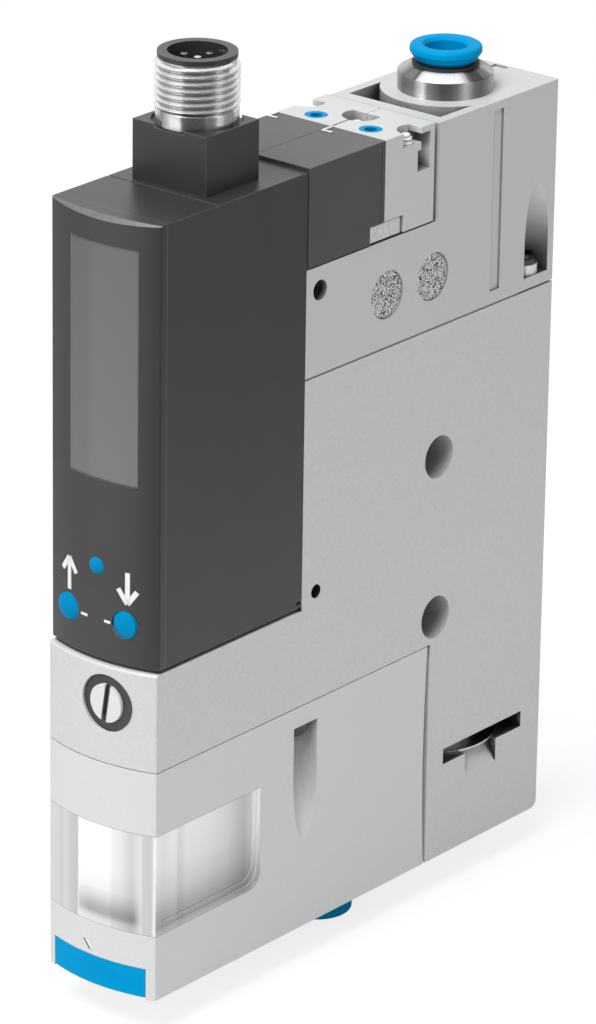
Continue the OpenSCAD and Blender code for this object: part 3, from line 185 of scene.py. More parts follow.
def painted_recess_shade(tree, reach_mm, deepest, closed=0.25, clear=0.85):
    """Painted shade: a tone that falls to deepest in holes and slots, where shade gathers."""
    hollow = tree.nodes.new("ShaderNodeAmbientOcclusion")
    hollow.samples = 8
    hollow.only_local = True
    hollow.inputs["Distance"].default_value = reach_mm * MM
    return tones(tree, hollow.outputs["AO"], [(closed, (deepest,) * 3), (clear, (1, 1, 1))])


def painted_edge_highlight(tree, gain, width_mm=EDGE_HIGHLIGHT_MM):
    """Painted highlight: a tone that rises to gain along edges and is 1 on the flats."""
    on_edge, on_flat = 0.72, 0.97
    flat = tree.nodes.new("ShaderNodeNewGeometry")
    same = tree.nodes.new("ShaderNodeVectorMath")
    same.operation = "DOT_PRODUCT"
    tree.links.new(rounded_normal(tree, width_mm), same.inputs[0])
    tree.links.new(flat.outputs["True Normal"], same.inputs[1])
    return spanned(tree, same.outputs["Value"], on_edge, on_flat, gain, 1.0)


def switched(tree, value, above, otherwise, raised):
    """The colour raised where a value is above a limit, and otherwise the other one."""
    return mixed(tree, worked_out(tree, "GREATER_THAN", value, above), otherwise, raised)


def faded(tree, weight, color):
    """A colour that fades to white where the weight falls to zero."""
    return mixed(tree, weight, WHITE, color)


def facing(tree, axis):
    """How far the surface faces along an axis, either way."""
    flat = tree.nodes.new("ShaderNodeNewGeometry")
    split = tree.nodes.new("ShaderNodeSeparateXYZ")
    tree.links.new(flat.outputs["True Normal"], split.inputs["Vector"])
    return worked_out(tree, "ABSOLUTE", split.outputs[axis])


def painted_reflection_sectors(tree, center, middle, stops):
    """Painted reflections on a turned ring: grey levels by degrees round its axis from the
    middle, twice a turn.
    """
    offset = tree.nodes.new("ShaderNodeVectorMath")
    offset.operation = "SUBTRACT"
    offset.inputs[1].default_value = (center[0], center[1], 0)
    tree.links.new(object_place(tree), offset.inputs[0])
    split = tree.nodes.new("ShaderNodeSeparateXYZ")
    tree.links.new(offset.outputs["Vector"], split.inputs["Vector"])
    angle = worked_out(tree, "ARCTAN2", split.outputs["Y"], split.outputs["X"])
    # The middle comes to lie at one half, and two whole half turns keep the sum above zero.
    half_turns = worked_out(tree, "MULTIPLY_ADD", angle, 1 / math.pi, 2.5 - middle / 180)
    part = worked_out(tree, "FRACT", half_turns)
    return tones(tree, part, [((at + 90) / 180, (g, g, g)) for at, g in stops])


def cast_finish(name, color, roughness, grain_mm, spread, depth_mm, edge_mm=0.15,
                reach_mm=5.0, deepest=0.10, closed=0.25, edge_highlight_gain=1.0):
    """Light grey finish with a fine speckle of lighter and darker grains, a painted highlight
    along its edges and painted shade in its holes and slots.
    """
    material, tree, shader = new_finish(name, color, roughness)
    grain = speckle(tree, grain_mm)
    grains = tones(tree, grain, [(0.3, shade(color, 1 - spread)), (0.5, color),
                                 (0.7, shade(color, 1 + spread))])
    # Painted highlight along the edges.
    if edge_highlight_gain != 1.0:
        grains = multiplied(tree, grains, painted_edge_highlight(tree, edge_highlight_gain))
    # Painted shade in holes and slots.
    painted_hollow_shade = painted_recess_shade(tree, reach_mm, deepest, closed)
    tree.links.new(multiplied(tree, grains, painted_hollow_shade), shader.inputs["Base Color"])
    bumps(tree, shader, grain, depth_mm, edge_mm=edge_mm)
    return material


def moulded_finish(name, color, roughness, grain_mm=0.25, depth_mm=0.01, spread=0.06,
                   edge_mm=0.12, specular=0.5, edge_highlight_gain=1.0, deepest=1.0):
    """Moulded plastic with a fine texture and slight cloudiness, its edges made paler by a
    painted highlight and its recesses made dark by painted shade.
    """
    material, tree, shader = new_finish(name, color, roughness, specular=specular)
    cloud = speckle(tree, 6.0, detail=3.0)
    clouds = tones(tree, cloud, [(0.3, shade(color, 1 - spread)),
                                 (0.7, shade(color, 1 + spread))])
    # Painted highlight along the edges.
    if edge_highlight_gain != 1.0:
        clouds = multiplied(tree, clouds, painted_edge_highlight(tree, edge_highlight_gain))
    # Painted shade in recesses.
    if deepest != 1.0:
        clouds = multiplied(tree, clouds, painted_recess_shade(tree, 1.5, deepest))
    tree.links.new(clouds, shader.inputs["Base Color"])
    bumps(tree, shader, speckle(tree, grain_mm), depth_mm, edge_mm=edge_mm)
    return material


def turned_finish(name, color, roughness, ring_mm=0.15, depth_mm=0.004, edge_mm=0.08,
                  metallic=1.0):
    """Metal with fine turning rings stacked along Z, darkened by painted shade in its recesses.
    """
    material, tree, shader = new_finish(name, color, roughness, metallic=metallic)
    rings = tree.nodes.new("ShaderNodeTexNoise")
    rings.noise_dimensions = "1D"
    rings.inputs["Scale"].default_value = 1.0 / (ring_mm * MM)
    rings.inputs["Detail"].default_value = 1.0
    tree.links.new(own_axes(tree)["Z"], rings.inputs["W"])
    cloud = speckle(tree, 1.5)
    clouds = tones(tree, cloud, [(0.35, shade(color, 0.9)), (0.7, shade(color, 1.08))])
    # Painted shade in recesses.
    tree.links.new(multiplied(tree, clouds, painted_recess_shade(tree, 1.2, 0.15)),
                   shader.inputs["Base Color"])
    bumps(tree, shader, rings.outputs["Fac"], depth_mm, edge_mm=edge_mm)
    return material


def head_finish(name, color=(0.55, 0.56, 0.555)):
    """The head's grey, with painted shade darkening the foot of its scoops, a painted shadow
    line where the valves meet it, painted highlights on its edges and painted shade in its
    recesses.
    """
    scoop_skin, scoop_start, scoop_end = 0.06 * MM, 8 * MM, 0.7 * MM
    butt_l = 3 * MM
    material, tree, shader = new_finish(name, color, 0.45)
    grain = speckle(tree, 0.3)
    grains = tones(tree, grain, [(0.3, shade(color, 0.975)), (0.7, shade(color, 1.025))])
    # Grains with a painted highlight on the edges and painted shade in recesses.
    grains_with_painted_light = multiplied(tree, multiplied(tree, grains, painted_edge_highlight(tree, 1.12)),
                     painted_recess_shade(tree, 5.0, 0.10))
    place = own_axes(tree)
    head_low, head_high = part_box("valve_head")
    valve_low, valve_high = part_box("right_valve")
    # Painted shade that deepens towards the foot of the side scoops.
    scoop_shade_ramp = placed_tone(tree, place["Z"], head_low.z, head_high.z, [
        (0.0, 0.30), (1.6, 0.12), (4.5, 0.16), (7.5, 0.42), (11.0, 0.80), (14.0, 1.0)])
    # Painted shadow line on the head just behind the valves' back edge.
    gap_shadow_ramp = placed_tone(tree, place["Y"], valve_high.y, valve_high.y + butt_l, [
        (0.0, 0.10), (0.5, 0.14), (0.75, 0.80), (1.4, 1.0)])
    outward = worked_out(tree, "ABSOLUTE", place["X"])
    painted_scoop_shade = switched(tree, outward, head_high.x - scoop_skin, scoop_shade_ramp, WHITE)
    painted_scoop_shade = switched(tree, place["Y"], head_high.y - scoop_end, painted_scoop_shade, WHITE)
    painted_scoop_shade = switched(tree, place["Y"], head_high.y - scoop_start, WHITE, painted_scoop_shade)
    # The painted shadow line stays at the valves' height.
    beside = switched(tree, place["Z"], valve_low.z, WHITE, gap_shadow_ramp)
    tree.links.new(multiplied(tree, grains_with_painted_light, multiplied(tree, painted_scoop_shade, beside)),
                   shader.inputs["Base Color"])
    bumps(tree, shader, grain, 0.01, edge_mm=0.15)
    return material


def fitting_finish(name, center, middle):
    """Brushed steel fitting with painted reflections: bright and dark sectors on its cone and
    round its side.
    """
    material, tree, shader = new_finish(name, (0.6, 0.6, 0.6), 0.34, metallic=0.3)
    side_painted_reflections = painted_reflection_sectors(tree, center, middle, [
        (-90, 0.50), (-76, 0.28), (-62, 0.15), (-42, 0.26), (-34, 0.72), (-29, 1.0),
        (-23, 0.30), (-14, 0.17), (-5, 0.10), (5, 0.11), (14, 0.22), (24, 0.55), (29, 0.42),
        (36, 0.20), (46, 0.15), (58, 0.24), (70, 0.42), (90, 0.50)])
    cone_painted_reflections = painted_reflection_sectors(tree, center, middle, [
        (-90, 0.42), (-75, 0.30), (-64, 0.12), (-52, 0.16), (-46, 0.16), (-41, 0.05),
        (-37, 0.62), (-30, 0.85), (18, 0.85), (26, 0.45), (31, 0.12), (36, 0.04), (50, 0.02),
        (54, 0.12), (62, 0.12), (70, 0.22), (76, 0.50), (90, 0.42)])
    # Painted reflections: the cone's set on faces that face up, the side's set elsewhere.
    sectors = switched(tree, facing(tree, "Z"), 0.5, side_painted_reflections, cone_painted_reflections)
    scratches = tones(tree, speckle(tree, 0.3, detail=4.0), [(0.35, (0.82,) * 3),
                                                             (0.65, (1.0,) * 3)])
    tree.links.new(multiplied(tree, sectors, scratches), shader.inputs["Base Color"])
    bumps(tree, shader, speckle(tree, 0.3), 0.004, edge_mm=0.08)
    return material


def thread_finish(name, color, center, middle, thread_foot):
    """Nickelled thread with painted shade in its grooves, over a polished barrel with painted
    dark and bright reflection sectors.
    """
    material, tree, shader = new_finish(name, color, 0.24, metallic=0.8)
    sectors = painted_reflection_sectors(tree, center, middle, [
        (-90, 1.0), (-63, 0.9), (-58, 0.45), (-52, 0.55), (-44, 0.85), (-36, 1.0), (-24, 1.0),
        (-19, 0.42), (0, 0.36), (9, 0.42), (15, 0.85), (30, 0.95), (42, 0.62), (58, 0.52),
        (64, 1.0), (90, 1.0)])
    clouds = tones(tree, speckle(tree, 0.8), [(0.35, shade(color, 0.88)), (0.7, color)])
    # Painted reflections below the thread's foot, painted shade in the thread above it.
    parts = switched(tree, own_axes(tree)["Z"], thread_foot,
                     multiplied(tree, sectors, clouds),
                     multiplied(tree, clouds, painted_recess_shade(tree, 0.5, 0.30)))
    tree.links.new(parts, shader.inputs["Base Color"])
    bumps(tree, shader, speckle(tree, 0.5), 0.003, edge_mm=0.05)
    return material


def cap_finish(name, rim, top):
    """Cap screw: a bright rounded rim round a dark socket that faces up, painted light and shade
    chosen by which way the surface faces.
    """
    material, tree, shader = new_finish(name, rim, 0.32, metallic=0.35)
    grains = speckle(tree, 0.4)
    bright = tones(tree, grains, [(0.3, shade(rim, 0.92)), (0.7, rim)])
    dark = tones(tree, grains, [(0.3, top), (0.7, shade(top, 1.5))])
    # Painted highlight on faces that turn sideways, painted shade on faces that face up.
    tree.links.new(switched(tree, facing(tree, "Z"), 0.45, bright, dark),
                   shader.inputs["Base Color"])
    bumps(tree, shader, grains, 0.004)
    return material


def placed_tone(tree, coordinate, start, end, stops):
    """A ramp of grey levels along one coordinate, with its stops in millimetres."""
    length = (end - start) / MM
    return tones(tree, spanned(tree, coordinate, start, end),
                 [(at / length, (g, g, g)) for at, g in stops])


def cup_finish(name, cup_low, cup_high, front_t=1.85 * MM):
    """Milky clear plastic with painted light and shade: thick corners, the bright filter behind
    the front and beads behind, all painted by place, with painted shade towards its foot and a
    faint painted glow.
    """
    material, tree, shader = new_finish(name, (0.9, 0.9, 0.9), 0.16, specular=0.3)
    shader.inputs["IOR"].default_value = 1.15
    shader.inputs["Transmission Weight"].default_value = 0.15
    place = own_axes(tree)
    # Painted light and shade of the view through the front, along X.
    front_painted_light = placed_tone(tree, place["X"], cup_low.x, cup_high.x, [
        (0.0, 0.68), (2.2, 0.67), (3.0, 0.61), (4.2, 0.67), (5.4, 0.58), (6.8, 0.55),
        (6.95, 0.98), (12.6, 0.96), (13.4, 0.84), (14.6, 0.79), (16.3, 0.63), (17.0, 0.68),
        (17.8, 0.76), (18.2, 0.60), (19.4, 0.60), (19.9, 0.95)])
    in_bar = placed_tone(tree, place["X"], cup_low.x, cup_high.x, [
        (6.9, 0.0), (7.1, 0.75), (9.0, 1.0), (16.8, 1.0), (18.2, 0.0)])
    # Painted shade towards the foot, within the bright bar.
    base = placed_tone(tree, place["Z"], cup_low.z, cup_high.z, [
        (0.0, 0.80), (0.9, 0.72), (1.8, 0.42), (2.6, 0.46), (3.9, 0.66), (5.6, 0.90),
        (9.0, 1.0)])
    # Painted light and shade of the view through the side, along Y.
    side_painted_shade = placed_tone(tree, place["Y"], cup_low.y + front_t, cup_high.y, [
        (0.0, 1.0), (1.6, 0.93), (3.6, 1.0), (4.5, 0.97), (4.9, 0.84), (5.8, 0.88),
        (6.6, 0.97), (11.0, 0.94), (15.4, 0.83), (17.2, 0.72), (19.3, 0.61), (20.2, 0.70),
        (21.0, 0.76), (21.5, 1.0)])
    # Painted shade towards the foot of the side.
    side_foot_painted_shade = placed_tone(tree, place["Z"], cup_low.z, cup_high.z, [
        (0.0, 0.62), (1.2, 0.44), (3.0, 0.53), (6.0, 0.77), (10.0, 0.95), (14.0, 1.0)])
    painted_pane_light = switched(tree, facing(tree, "X"), 0.8,
                     multiplied(tree, front_painted_light, faded(tree, in_bar, base)),
                     multiplied(tree, side_painted_shade, side_foot_painted_shade))
    tree.links.new(painted_pane_light, shader.inputs["Base Color"])
    # The same painted colours also glow faintly, as painted light.
    tree.links.new(painted_pane_light, shader.inputs["Emission Color"])
    shader.inputs["Emission Strength"].default_value = 0.04
    bumps(tree, shader, speckle(tree, 2.0), 0.02, strength=0.3, edge_mm=0.15)
    return material


def cover_finish(name, color, rim):
    """Dark front cover with a painted highlight that makes its edges pale and a painted
    highlight on the polished chamfer along its top.
    """
    material, tree, shader = new_finish(name, color, 0.36)
    cloud = speckle(tree, 6.0, detail=3.0)
    clouds = tones(tree, cloud, [(0.3, shade(color, 0.94)), (0.7, shade(color, 1.06))])
    # Painted highlight along the edges.
    clouds = multiplied(tree, clouds, painted_edge_highlight(tree, 6.0, 0.2))
    chamfer_painted_highlight = tones(tree, speckle(tree, 1.2), [(0.3, shade(rim, 0.8)), (0.7, rim)])
    # The painted highlight goes on faces that slant upward.
    rise = facing(tree, "Z")
    slanted = switched(tree, rise, 0.25, clouds, chamfer_painted_highlight)
    tree.links.new(switched(tree, rise, 0.92, slanted, clouds), shader.inputs["Base Color"])
    bumps(tree, shader, speckle(tree, 0.12), 0.006, edge_mm=0.12)
    return material


def lens_finish(name, low_tone, high_tone, low_z, high_z):
    """Tinted window over the readings, with a painted reflection that makes it lighter towards
    its lower edge.
    """
    material, tree, shader = new_finish(name, low_tone, 0.22)
    shader.inputs["Coat Weight"].default_value = 0.25
    shader.inputs["Coat Roughness"].default_value = 0.08
    rise = spanned(tree, own_axes(tree)["Z"], low_z, high_z)
    tree.links.new(tones(tree, rise, [(0.0, low_tone), (1.0, high_tone)]),
                   shader.inputs["Base Color"])
    bumps(tree, shader, speckle(tree, 0.4), 0.001)
    return material


def sinter_finish(name, light, dark, grain_mm):
    """Sintered metal: bright facets over dark pores."""
    material, tree, shader = new_finish(name, light, 0.38, metallic=0.75)
    cells = tree.nodes.new("ShaderNodeTexVoronoi")
    cells.inputs["Scale"].default_value = 1.0 / (grain_mm * MM)
    tree.links.new(object_place(tree), cells.inputs["Vector"])
    facets = tree.nodes.new("ShaderNodeSeparateColor")
    tree.links.new(cells.outputs["Color"], facets.inputs["Color"])
    tree.links.new(tones(tree, facets.outputs["Red"], [(0.22, dark), (0.42, shade(light, 0.45)),
                                                       (0.62, light), (1.0, light)]),
                   shader.inputs["Base Color"])
    bumps(tree, shader, cells.outputs["Distance"], 0.12)
    return material


screen_low, screen_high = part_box("display_lens")
# The edge gains set painted highlights along edges; deepest and closed set painted shade in
# holes and slots.
finishes = {
    "body_grey": cast_finish("cast_grey", (0.58, 0.59, 0.585), 0.42, grain_mm=0.22, spread=0.08,
                             depth_mm=0.016, deepest=0.04, closed=0.62, edge_highlight_gain=1.3),
    "head_grey": head_finish("head_grey"),
    "housing_grey": cast_finish("housing_grey", (0.625, 0.635, 0.63), 0.42, grain_mm=0.3,
                                spread=0.03, depth_mm=0.01, closed=0.45, edge_highlight_gain=1.2),
    "clear": cup_finish("milky_cup", *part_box("filter_window")),
    "filter_white": moulded_finish("filter_white", (0.86, 0.87, 0.87), 0.7, grain_mm=0.12,
                                   depth_mm=0.03),
    "blue": moulded_finish("blue_plastic", (0.0, 0.29, 0.60), 0.45, grain_mm=0.3,
                           depth_mm=0.006, specular=0.02, deepest=0.35),
    "display_dark": moulded_finish("display_dark", (0.032, 0.032, 0.033), 0.36, grain_mm=0.12,
                                   depth_mm=0.006, edge_highlight_gain=5.0),
    "screen": moulded_finish("screen_grey", (0.20, 0.205, 0.20), 0.35, grain_mm=0.1,
                             depth_mm=0.002),
    "screen_lens": lens_finish("screen_lens", (0.134, 0.136, 0.133), (0.102, 0.104, 0.102),
                               screen_low.z, screen_high.z),
    "rubber": moulded_finish("black_rubber", (0.02, 0.02, 0.02), 0.6, grain_mm=0.1),
    "board_green": moulded_finish("board_green", (0.02, 0.12, 0.05), 0.4),
    "sensor_case": moulded_finish("sensor_case", (0.6, 0.6, 0.56), 0.5),
    "steel": turned_finish("bright_steel", (0.60, 0.61, 0.62), 0.27),
    "black_steel": turned_finish("black_steel", (0.09, 0.09, 0.092), 0.4),
    "nickel": turned_finish("nickel", (0.80, 0.81, 0.81), 0.24, metallic=0.8),
    "contact_gold": turned_finish("contact_silver", (0.85, 0.85, 0.84), 0.25),
    "brass": turned_finish("brass", (0.72, 0.5, 0.2), 0.3),
    "valve_white": cast_finish("valve_white", (0.57, 0.58, 0.575), 0.4, grain_mm=0.3,
                               spread=0.02, depth_mm=0.006, reach_mm=3.0, deepest=0.16,
                               edge_highlight_gain=1.35),
    "clip_grey": cast_finish("brushed_clip", (0.60, 0.60, 0.59), 0.38, grain_mm=0.35,
                             spread=0.22, depth_mm=0.02),
    "sinter": sinter_finish("sintered_metal", (0.88, 0.88, 0.87), (0.012, 0.012, 0.012), 0.17),
}

shell_low, shell_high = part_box("plug_shell")
shell_middle = (shell_low + shell_high) / 2
thread_l = 7.1 * MM
thread_low = shell_high.z - thread_l
# Degrees round from +X where the painted bright and dark reflection sectors of the turned metal
# are centred.
reflection_middle = -51

# The edge gain sets a painted highlight along the coils' edges.
coil_dark = moulded_finish("coil_dark", (0.060, 0.060, 0.061), 0.38, grain_mm=0.12,
                           depth_mm=0.006, edge_highlight_gain=1.8)
button_blue = moulded_finish("button_blue", (0.0, 0.225, 0.475), 0.45, grain_mm=0.3,
                             depth_mm=0.006, specular=0.03)
# Painted shade darkens the slot of this screw.
flow_steel = cast_finish("flow_steel", (0.66, 0.67, 0.67), 0.35, grain_mm=0.2, spread=0.03,
                         depth_mm=0.002, edge_mm=0.08, reach_mm=1.2, deepest=0.03, closed=0.45)
screw_white = turned_finish("bright_screw", (0.90, 0.90, 0.89), 0.35, metallic=0.15)
thread_nickel = thread_finish("thread_nickel", (0.86, 0.87, 0.87), shell_middle, reflection_middle,
                              thread_low)
mark_white = moulded_finish("mark_white", (0.78, 0.78, 0.78), 0.5, grain_mm=0.2,
                            depth_mm=0.002, spread=0.02)
own_finishes = {
    "left_button": button_blue,
    "right_button": button_blue,
    "set_button": button_blue,
    "left_coil": coil_dark,
    "right_coil": coil_dark,
    "flow_screw": flow_steel,
    "display_screw": finishes["black_steel"],
    "head_screws": cap_finish("cap_screw", (0.92, 0.92, 0.91), (0.07, 0.07, 0.07)),
    "display_cover": cover_finish("cover_dark", (0.032, 0.032, 0.033), (0.16, 0.16, 0.16)),
}
for port in ("supply", "vacuum"):
    fitting_low, fitting_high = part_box(port + "_fitting")
    own_finishes[port + "_fitting"] = fitting_finish(
        port + "_steel", (fitting_low + fitting_high) / 2, reflection_middle)

for part in frame["record"]["subparts"]:
    obj = nodes[part["node"]]
    obj.data.materials.clear()
    obj.data.materials.append(own_finishes.get(part["node"], finishes[part["material_slot"]]))


# ---------- modelling ----------

def deselect():
    """Leaves edit mode with nothing selected."""
    if bpy.context.object and bpy.context.object.mode != "OBJECT":
        bpy.ops.object.mode_set(mode="OBJECT")
    bpy.ops.object.select_all(action="DESELECT")


def named(name):
    """The object just added, with its name and with its place in its mesh."""
    obj = bpy.context.object
    obj.name = name
    obj.data.name = name
    bpy.ops.object.transform_apply(location=True, rotation=True, scale=True)
    return obj


def pick(obj, wanted, kind="VERT"):
    """In edit mode, selects the vertices or faces whose place and normal pass the test."""
    bpy.ops.object.mode_set(mode="EDIT")
    bpy.ops.mesh.select_mode(type=kind)
    bpy.ops.mesh.select_all(action="DESELECT")
    bpy.ops.object.mode_set(mode="OBJECT")
    found = obj.data.vertices if kind == "VERT" else obj.data.polygons
    for part in found:
        part.select = wanted(part.co if kind == "VERT" else part.center, part.normal)
    bpy.ops.object.mode_set(mode="EDIT")


def dress(obj, finish, body):
    """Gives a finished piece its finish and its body."""
    deselect()
    obj.data.materials.clear()
    obj.data.materials.append(finish)
    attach(obj, body)
    return obj


def joined(name, pieces):
    """Joins pieces into the first of them, under a new name."""
    deselect()
    for piece in pieces:
        piece.select_set(True)
    bpy.context.view_layer.objects.active = pieces[0]
    if len(pieces) > 1:
        bpy.ops.object.join()
    whole = bpy.context.object
    whole.name = name
    whole.data.name = name
    return whole


def thickened(run):
    """In edit mode, draws all faces out by a run, turns the faces outwards and ends the edit."""
    bpy.ops.mesh.select_all(action="SELECT")
    bpy.ops.mesh.extrude_region_move(TRANSFORM_OT_translate={"value": run})
    bpy.ops.mesh.select_all(action="SELECT")
    bpy.ops.mesh.normals_make_consistent(inside=False)
    bpy.ops.object.mode_set(mode="OBJECT")


def apply_modifiers(obj):
    """Applies all of a piece's modifiers in their order."""
    deselect()
    obj.select_set(True)
    bpy.context.view_layer.objects.active = obj
    for modifier in list(obj.modifiers):
        bpy.ops.object.modifier_apply(modifier=modifier.name)


def ring(name, center, inner, outer, low_z, high_z, bevel, segments=96):
    """A turned ring with bevelled edges, made from a disc with a hole."""
    deselect()
    bpy.ops.mesh.primitive_circle_add(vertices=segments, radius=outer, fill_type="NGON",
                                      location=(center[0], center[1], low_z))
    obj = named(name)
    pick(obj, lambda co, n: True, "FACE")
    bpy.ops.mesh.inset(thickness=outer - inner)
    pick(obj, lambda co, n: (co.xy - Vector(center)).length < inner / 2, "FACE")
    bpy.ops.mesh.delete(type="FACE")
    thickened((0, 0, high_z - low_z))
    if bevel:
        edges = obj.modifiers.new("edges", "BEVEL")
        edges.width = bevel
        edges.segments = 3
        edges.limit_method = "ANGLE"
        edges.angle_limit = math.radians(50)
        edges.harden_normals = False
        apply_modifiers(obj)
    return obj


# ---------- the connector's thread ----------

plug_axis = (shell_middle.x, shell_middle.y)
thread_r = (shell_high.x - shell_low.x) / 2
thread_pitch = 1.0 * MM
root_depth = 0.55 * MM
ridge_rise = 0.58 * MM
ridge_foot_w = 0.86 * thread_pitch
ridge_crest_share = 0.16
ridge_start = math.radians(-145)
ridge_drop = 0.25 * MM
# Six sweeps of 1.07 turns make 6.42 turns of thread in all.
sweeps = 6
turns_a_sweep = 1.07
steps_a_sweep = 96
collar_h = 2.5 * MM
collar_r = 5.85 * MM
tail_r = 5.36 * MM
insert_r = 5.02 * MM
collar_low = thread_low - collar_h

ring_overlap = 0.1 * MM
mouth_bevel = 0.12 * MM
collar_bevel = 0.3 * MM

core = ring("thread_core", plug_axis, insert_r, thread_r - root_depth,
            thread_low - 2 * ring_overlap, shell_high.z, mouth_bevel)
collar = ring("thread_collar", plug_axis, insert_r, collar_r, collar_low, thread_low,
              collar_bevel)
tail = ring("thread_tail", plug_axis, insert_r, tail_r, shell_low.z,
            collar_low + ring_overlap, 0)

deselect()
bpy.ops.mesh.primitive_plane_add(size=1.0, location=(0, 0, 0), rotation=(math.pi / 2, 0, 0))
ridge = named("thread_ridge")
bpy.ops.object.mode_set(mode="EDIT")
bpy.ops.mesh.select_all(action="SELECT")
bpy.ops.mesh.delete(type="ONLY_FACE")
pick(ridge, lambda co, n: co.x > 0)
bpy.ops.transform.resize(value=(1, 1, ridge_crest_share))
bpy.ops.mesh.select_all(action="SELECT")
bpy.ops.transform.resize(value=(ridge_rise, 1, ridge_foot_w), center_override=(0.5, 0, 0))
bpy.ops.transform.translate(value=(thread_r - 0.5, 0, thread_pitch / 2))
bpy.ops.object.mode_set(mode="OBJECT")
turns = ridge.modifiers.new("turns", "SCREW")
turns.axis = "Z"
turns.angle = 2 * math.pi * turns_a_sweep
turns.screw_offset = thread_pitch * turns_a_sweep
turns.iterations = sweeps
turns.steps = steps_a_sweep
turns.render_steps = steps_a_sweep
turns.use_merge_vertices = True
turns.merge_threshold = 0.001 * MM
apply_modifiers(ridge)
ridge.rotation_euler.z = ridge_start
bpy.ops.object.transform_apply(location=False, rotation=True, scale=False)
bpy.ops.object.mode_set(mode="EDIT")
bpy.ops.mesh.select_mode(type="EDGE")
bpy.ops.mesh.select_all(action="DESELECT")
bpy.ops.mesh.select_non_manifold(extend=False, use_wire=False, use_boundary=True,
                                 use_multi_face=False, use_non_contiguous=False, use_verts=False)
bpy.ops.mesh.fill()
bpy.ops.mesh.select_all(action="SELECT")
bpy.ops.mesh.normals_make_consistent(inside=False)
bpy.ops.transform.translate(value=(*plug_axis, thread_low - ridge_drop))
bpy.ops.object.mode_set(mode="OBJECT")

threaded_shell = joined("threaded_shell", [core, ridge, tail, collar])
bpy.ops.object.shade_smooth_by_angle(angle=SMOOTH_ANGLE)
dress(threaded_shell, thread_nickel, "module")
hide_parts("plug_shell")


# ---------- the latch hooks on the coils ----------

def latch_hook(name, corner, low_z, valve_y):
    """A flat L hook that runs forward from the valve and turns inward at its corner."""
    width, thickness = 0.38 * MM, 0.12 * MM
    turned_in, turned_back = 1.45 * MM, 0.1 * MM
    middle = (corner[0] + width / 2, corner[1] + width / 2)
    deselect()
    bpy.ops.mesh.primitive_plane_add(size=1.0, location=(0, 0, 0))
    hook = bpy.context.object
    hook.scale = (width, width, 1)
    hook.location = (*middle, low_z)
    hook = named(name)
    pick(hook, lambda co, n: co.x > middle[0])
    bpy.ops.mesh.extrude_region_move(
        TRANSFORM_OT_translate={"value": (turned_in, turned_back, 0)})
    pick(hook, lambda co, n: co.y > middle[1] and co.x < middle[0] + width)
    bpy.ops.mesh.extrude_region_move(
        TRANSFORM_OT_translate={"value": (0, valve_y - corner[1] - width, 0)})
    thickened((0, 0, thickness))
    return dress(hook, mark_white, "module")


hook_l = 2.5 * MM
hook_inset = 0.15 * MM
hook_gap = 0.01 * MM
for side in ("left", "right"):
    coil_low, coil_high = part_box(side + "_coil")
    valve_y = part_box(side + "_valve")[0].y
    latch_hook(side + "_hook", (coil_low.x + hook_inset, valve_y - hook_l),
               coil_high.z + hook_gap, valve_y)


# ---------- the ringed valve screws ----------

def ringed_screw(name, center, low_z, rings):
    """A screw of stacked discs, given from its foot as (radius, rise) in millimetres."""
    deselect()
    bpy.ops.mesh.primitive_circle_add(vertices=48, radius=rings[0][0] * MM, fill_type="NGON",
                                      location=(center[0], center[1], low_z))
    screw = named(name)
    pick(screw, lambda co, n: True, "FACE")
    wide = rings[0][0]
    for radius, rise in rings:
        bpy.ops.transform.resize(value=(radius / wide,) * 2 + (1,),
                                 center_override=(center[0], center[1], 0))
        bpy.ops.mesh.extrude_region_move(TRANSFORM_OT_translate={"value": (0, 0, rise * MM)})
        bpy.ops.mesh.extrude_region_move(TRANSFORM_OT_translate={"value": (0, 0, 0)})
        wide = radius
    bpy.ops.mesh.select_all(action="SELECT")
    bpy.ops.mesh.remove_doubles(threshold=0.001 * MM)
    bpy.ops.mesh.normals_make_consistent(inside=False)
    bpy.ops.object.mode_set(mode="OBJECT")
    return screw


screws_low, screws_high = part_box("valve_screws")
screws_y = (screws_low.y + screws_high.y) / 2
outer_screw_inset = 1.02 * MM
screws_x = screws_high.x - outer_screw_inset
head_mm = 1.4
shank_mm = (screws_high.z - screws_low.z) / MM - head_mm
stack = [(0.5, shank_mm), (1.0, 0.44), (0.6, 0.14), (0.88, 0.38), (0.5, 0.12), (0.58, 0.3)]
screws = [ringed_screw("valve_screw", (x, screws_y), screws_low.z, stack)
          for x in (-screws_x, 0, screws_x)]
ringed_screws = joined("ringed_screws", screws)
bpy.ops.object.shade_smooth_by_angle(angle=SMOOTH_ANGLE)
dress(ringed_screws, screw_white, "module")
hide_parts("valve_screws")


# ---------- the catch over the release slide ----------

slide_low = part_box("release_slide")[0]
catch_w, catch_h, catch_l = 0.45 * MM, 1.4 * MM, 1.0 * MM
catch_x = -0.42 * MM
catch_z = slide_low.z + 5.9 * MM
catch_sunk = 0.05 * MM
top_lean = -0.7 * MM
top_widening = 2.0
top_widened_from = -0.9 * MM
deselect()
bpy.ops.mesh.primitive_plane_add(size=1.0, location=(0, 0, 0), rotation=(math.pi / 2, 0, 0))
catch = bpy.context.object
catch.scale = (catch_w, catch_h, 1)
catch.location = (catch_x, slide_low.y + catch_sunk, catch_z)
catch = named("slide_catch")
pick(catch, lambda co, n: co.z > catch_z)
bpy.ops.transform.translate(value=(top_lean, 0, 0))
bpy.ops.transform.resize(value=(top_widening, 1, 1), center_override=(top_widened_from, 0, 0))
thickened((0, catch_l, 0))
dress(catch, mark_white, "module")


# ---------- the marks on the cover ----------

cover_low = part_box("display_cover")[0]
before_cover = Vector((0, cover_low.y - 5 * MM, 0))
print_gap = 0.015 * MM
print_t = 0.03 * MM


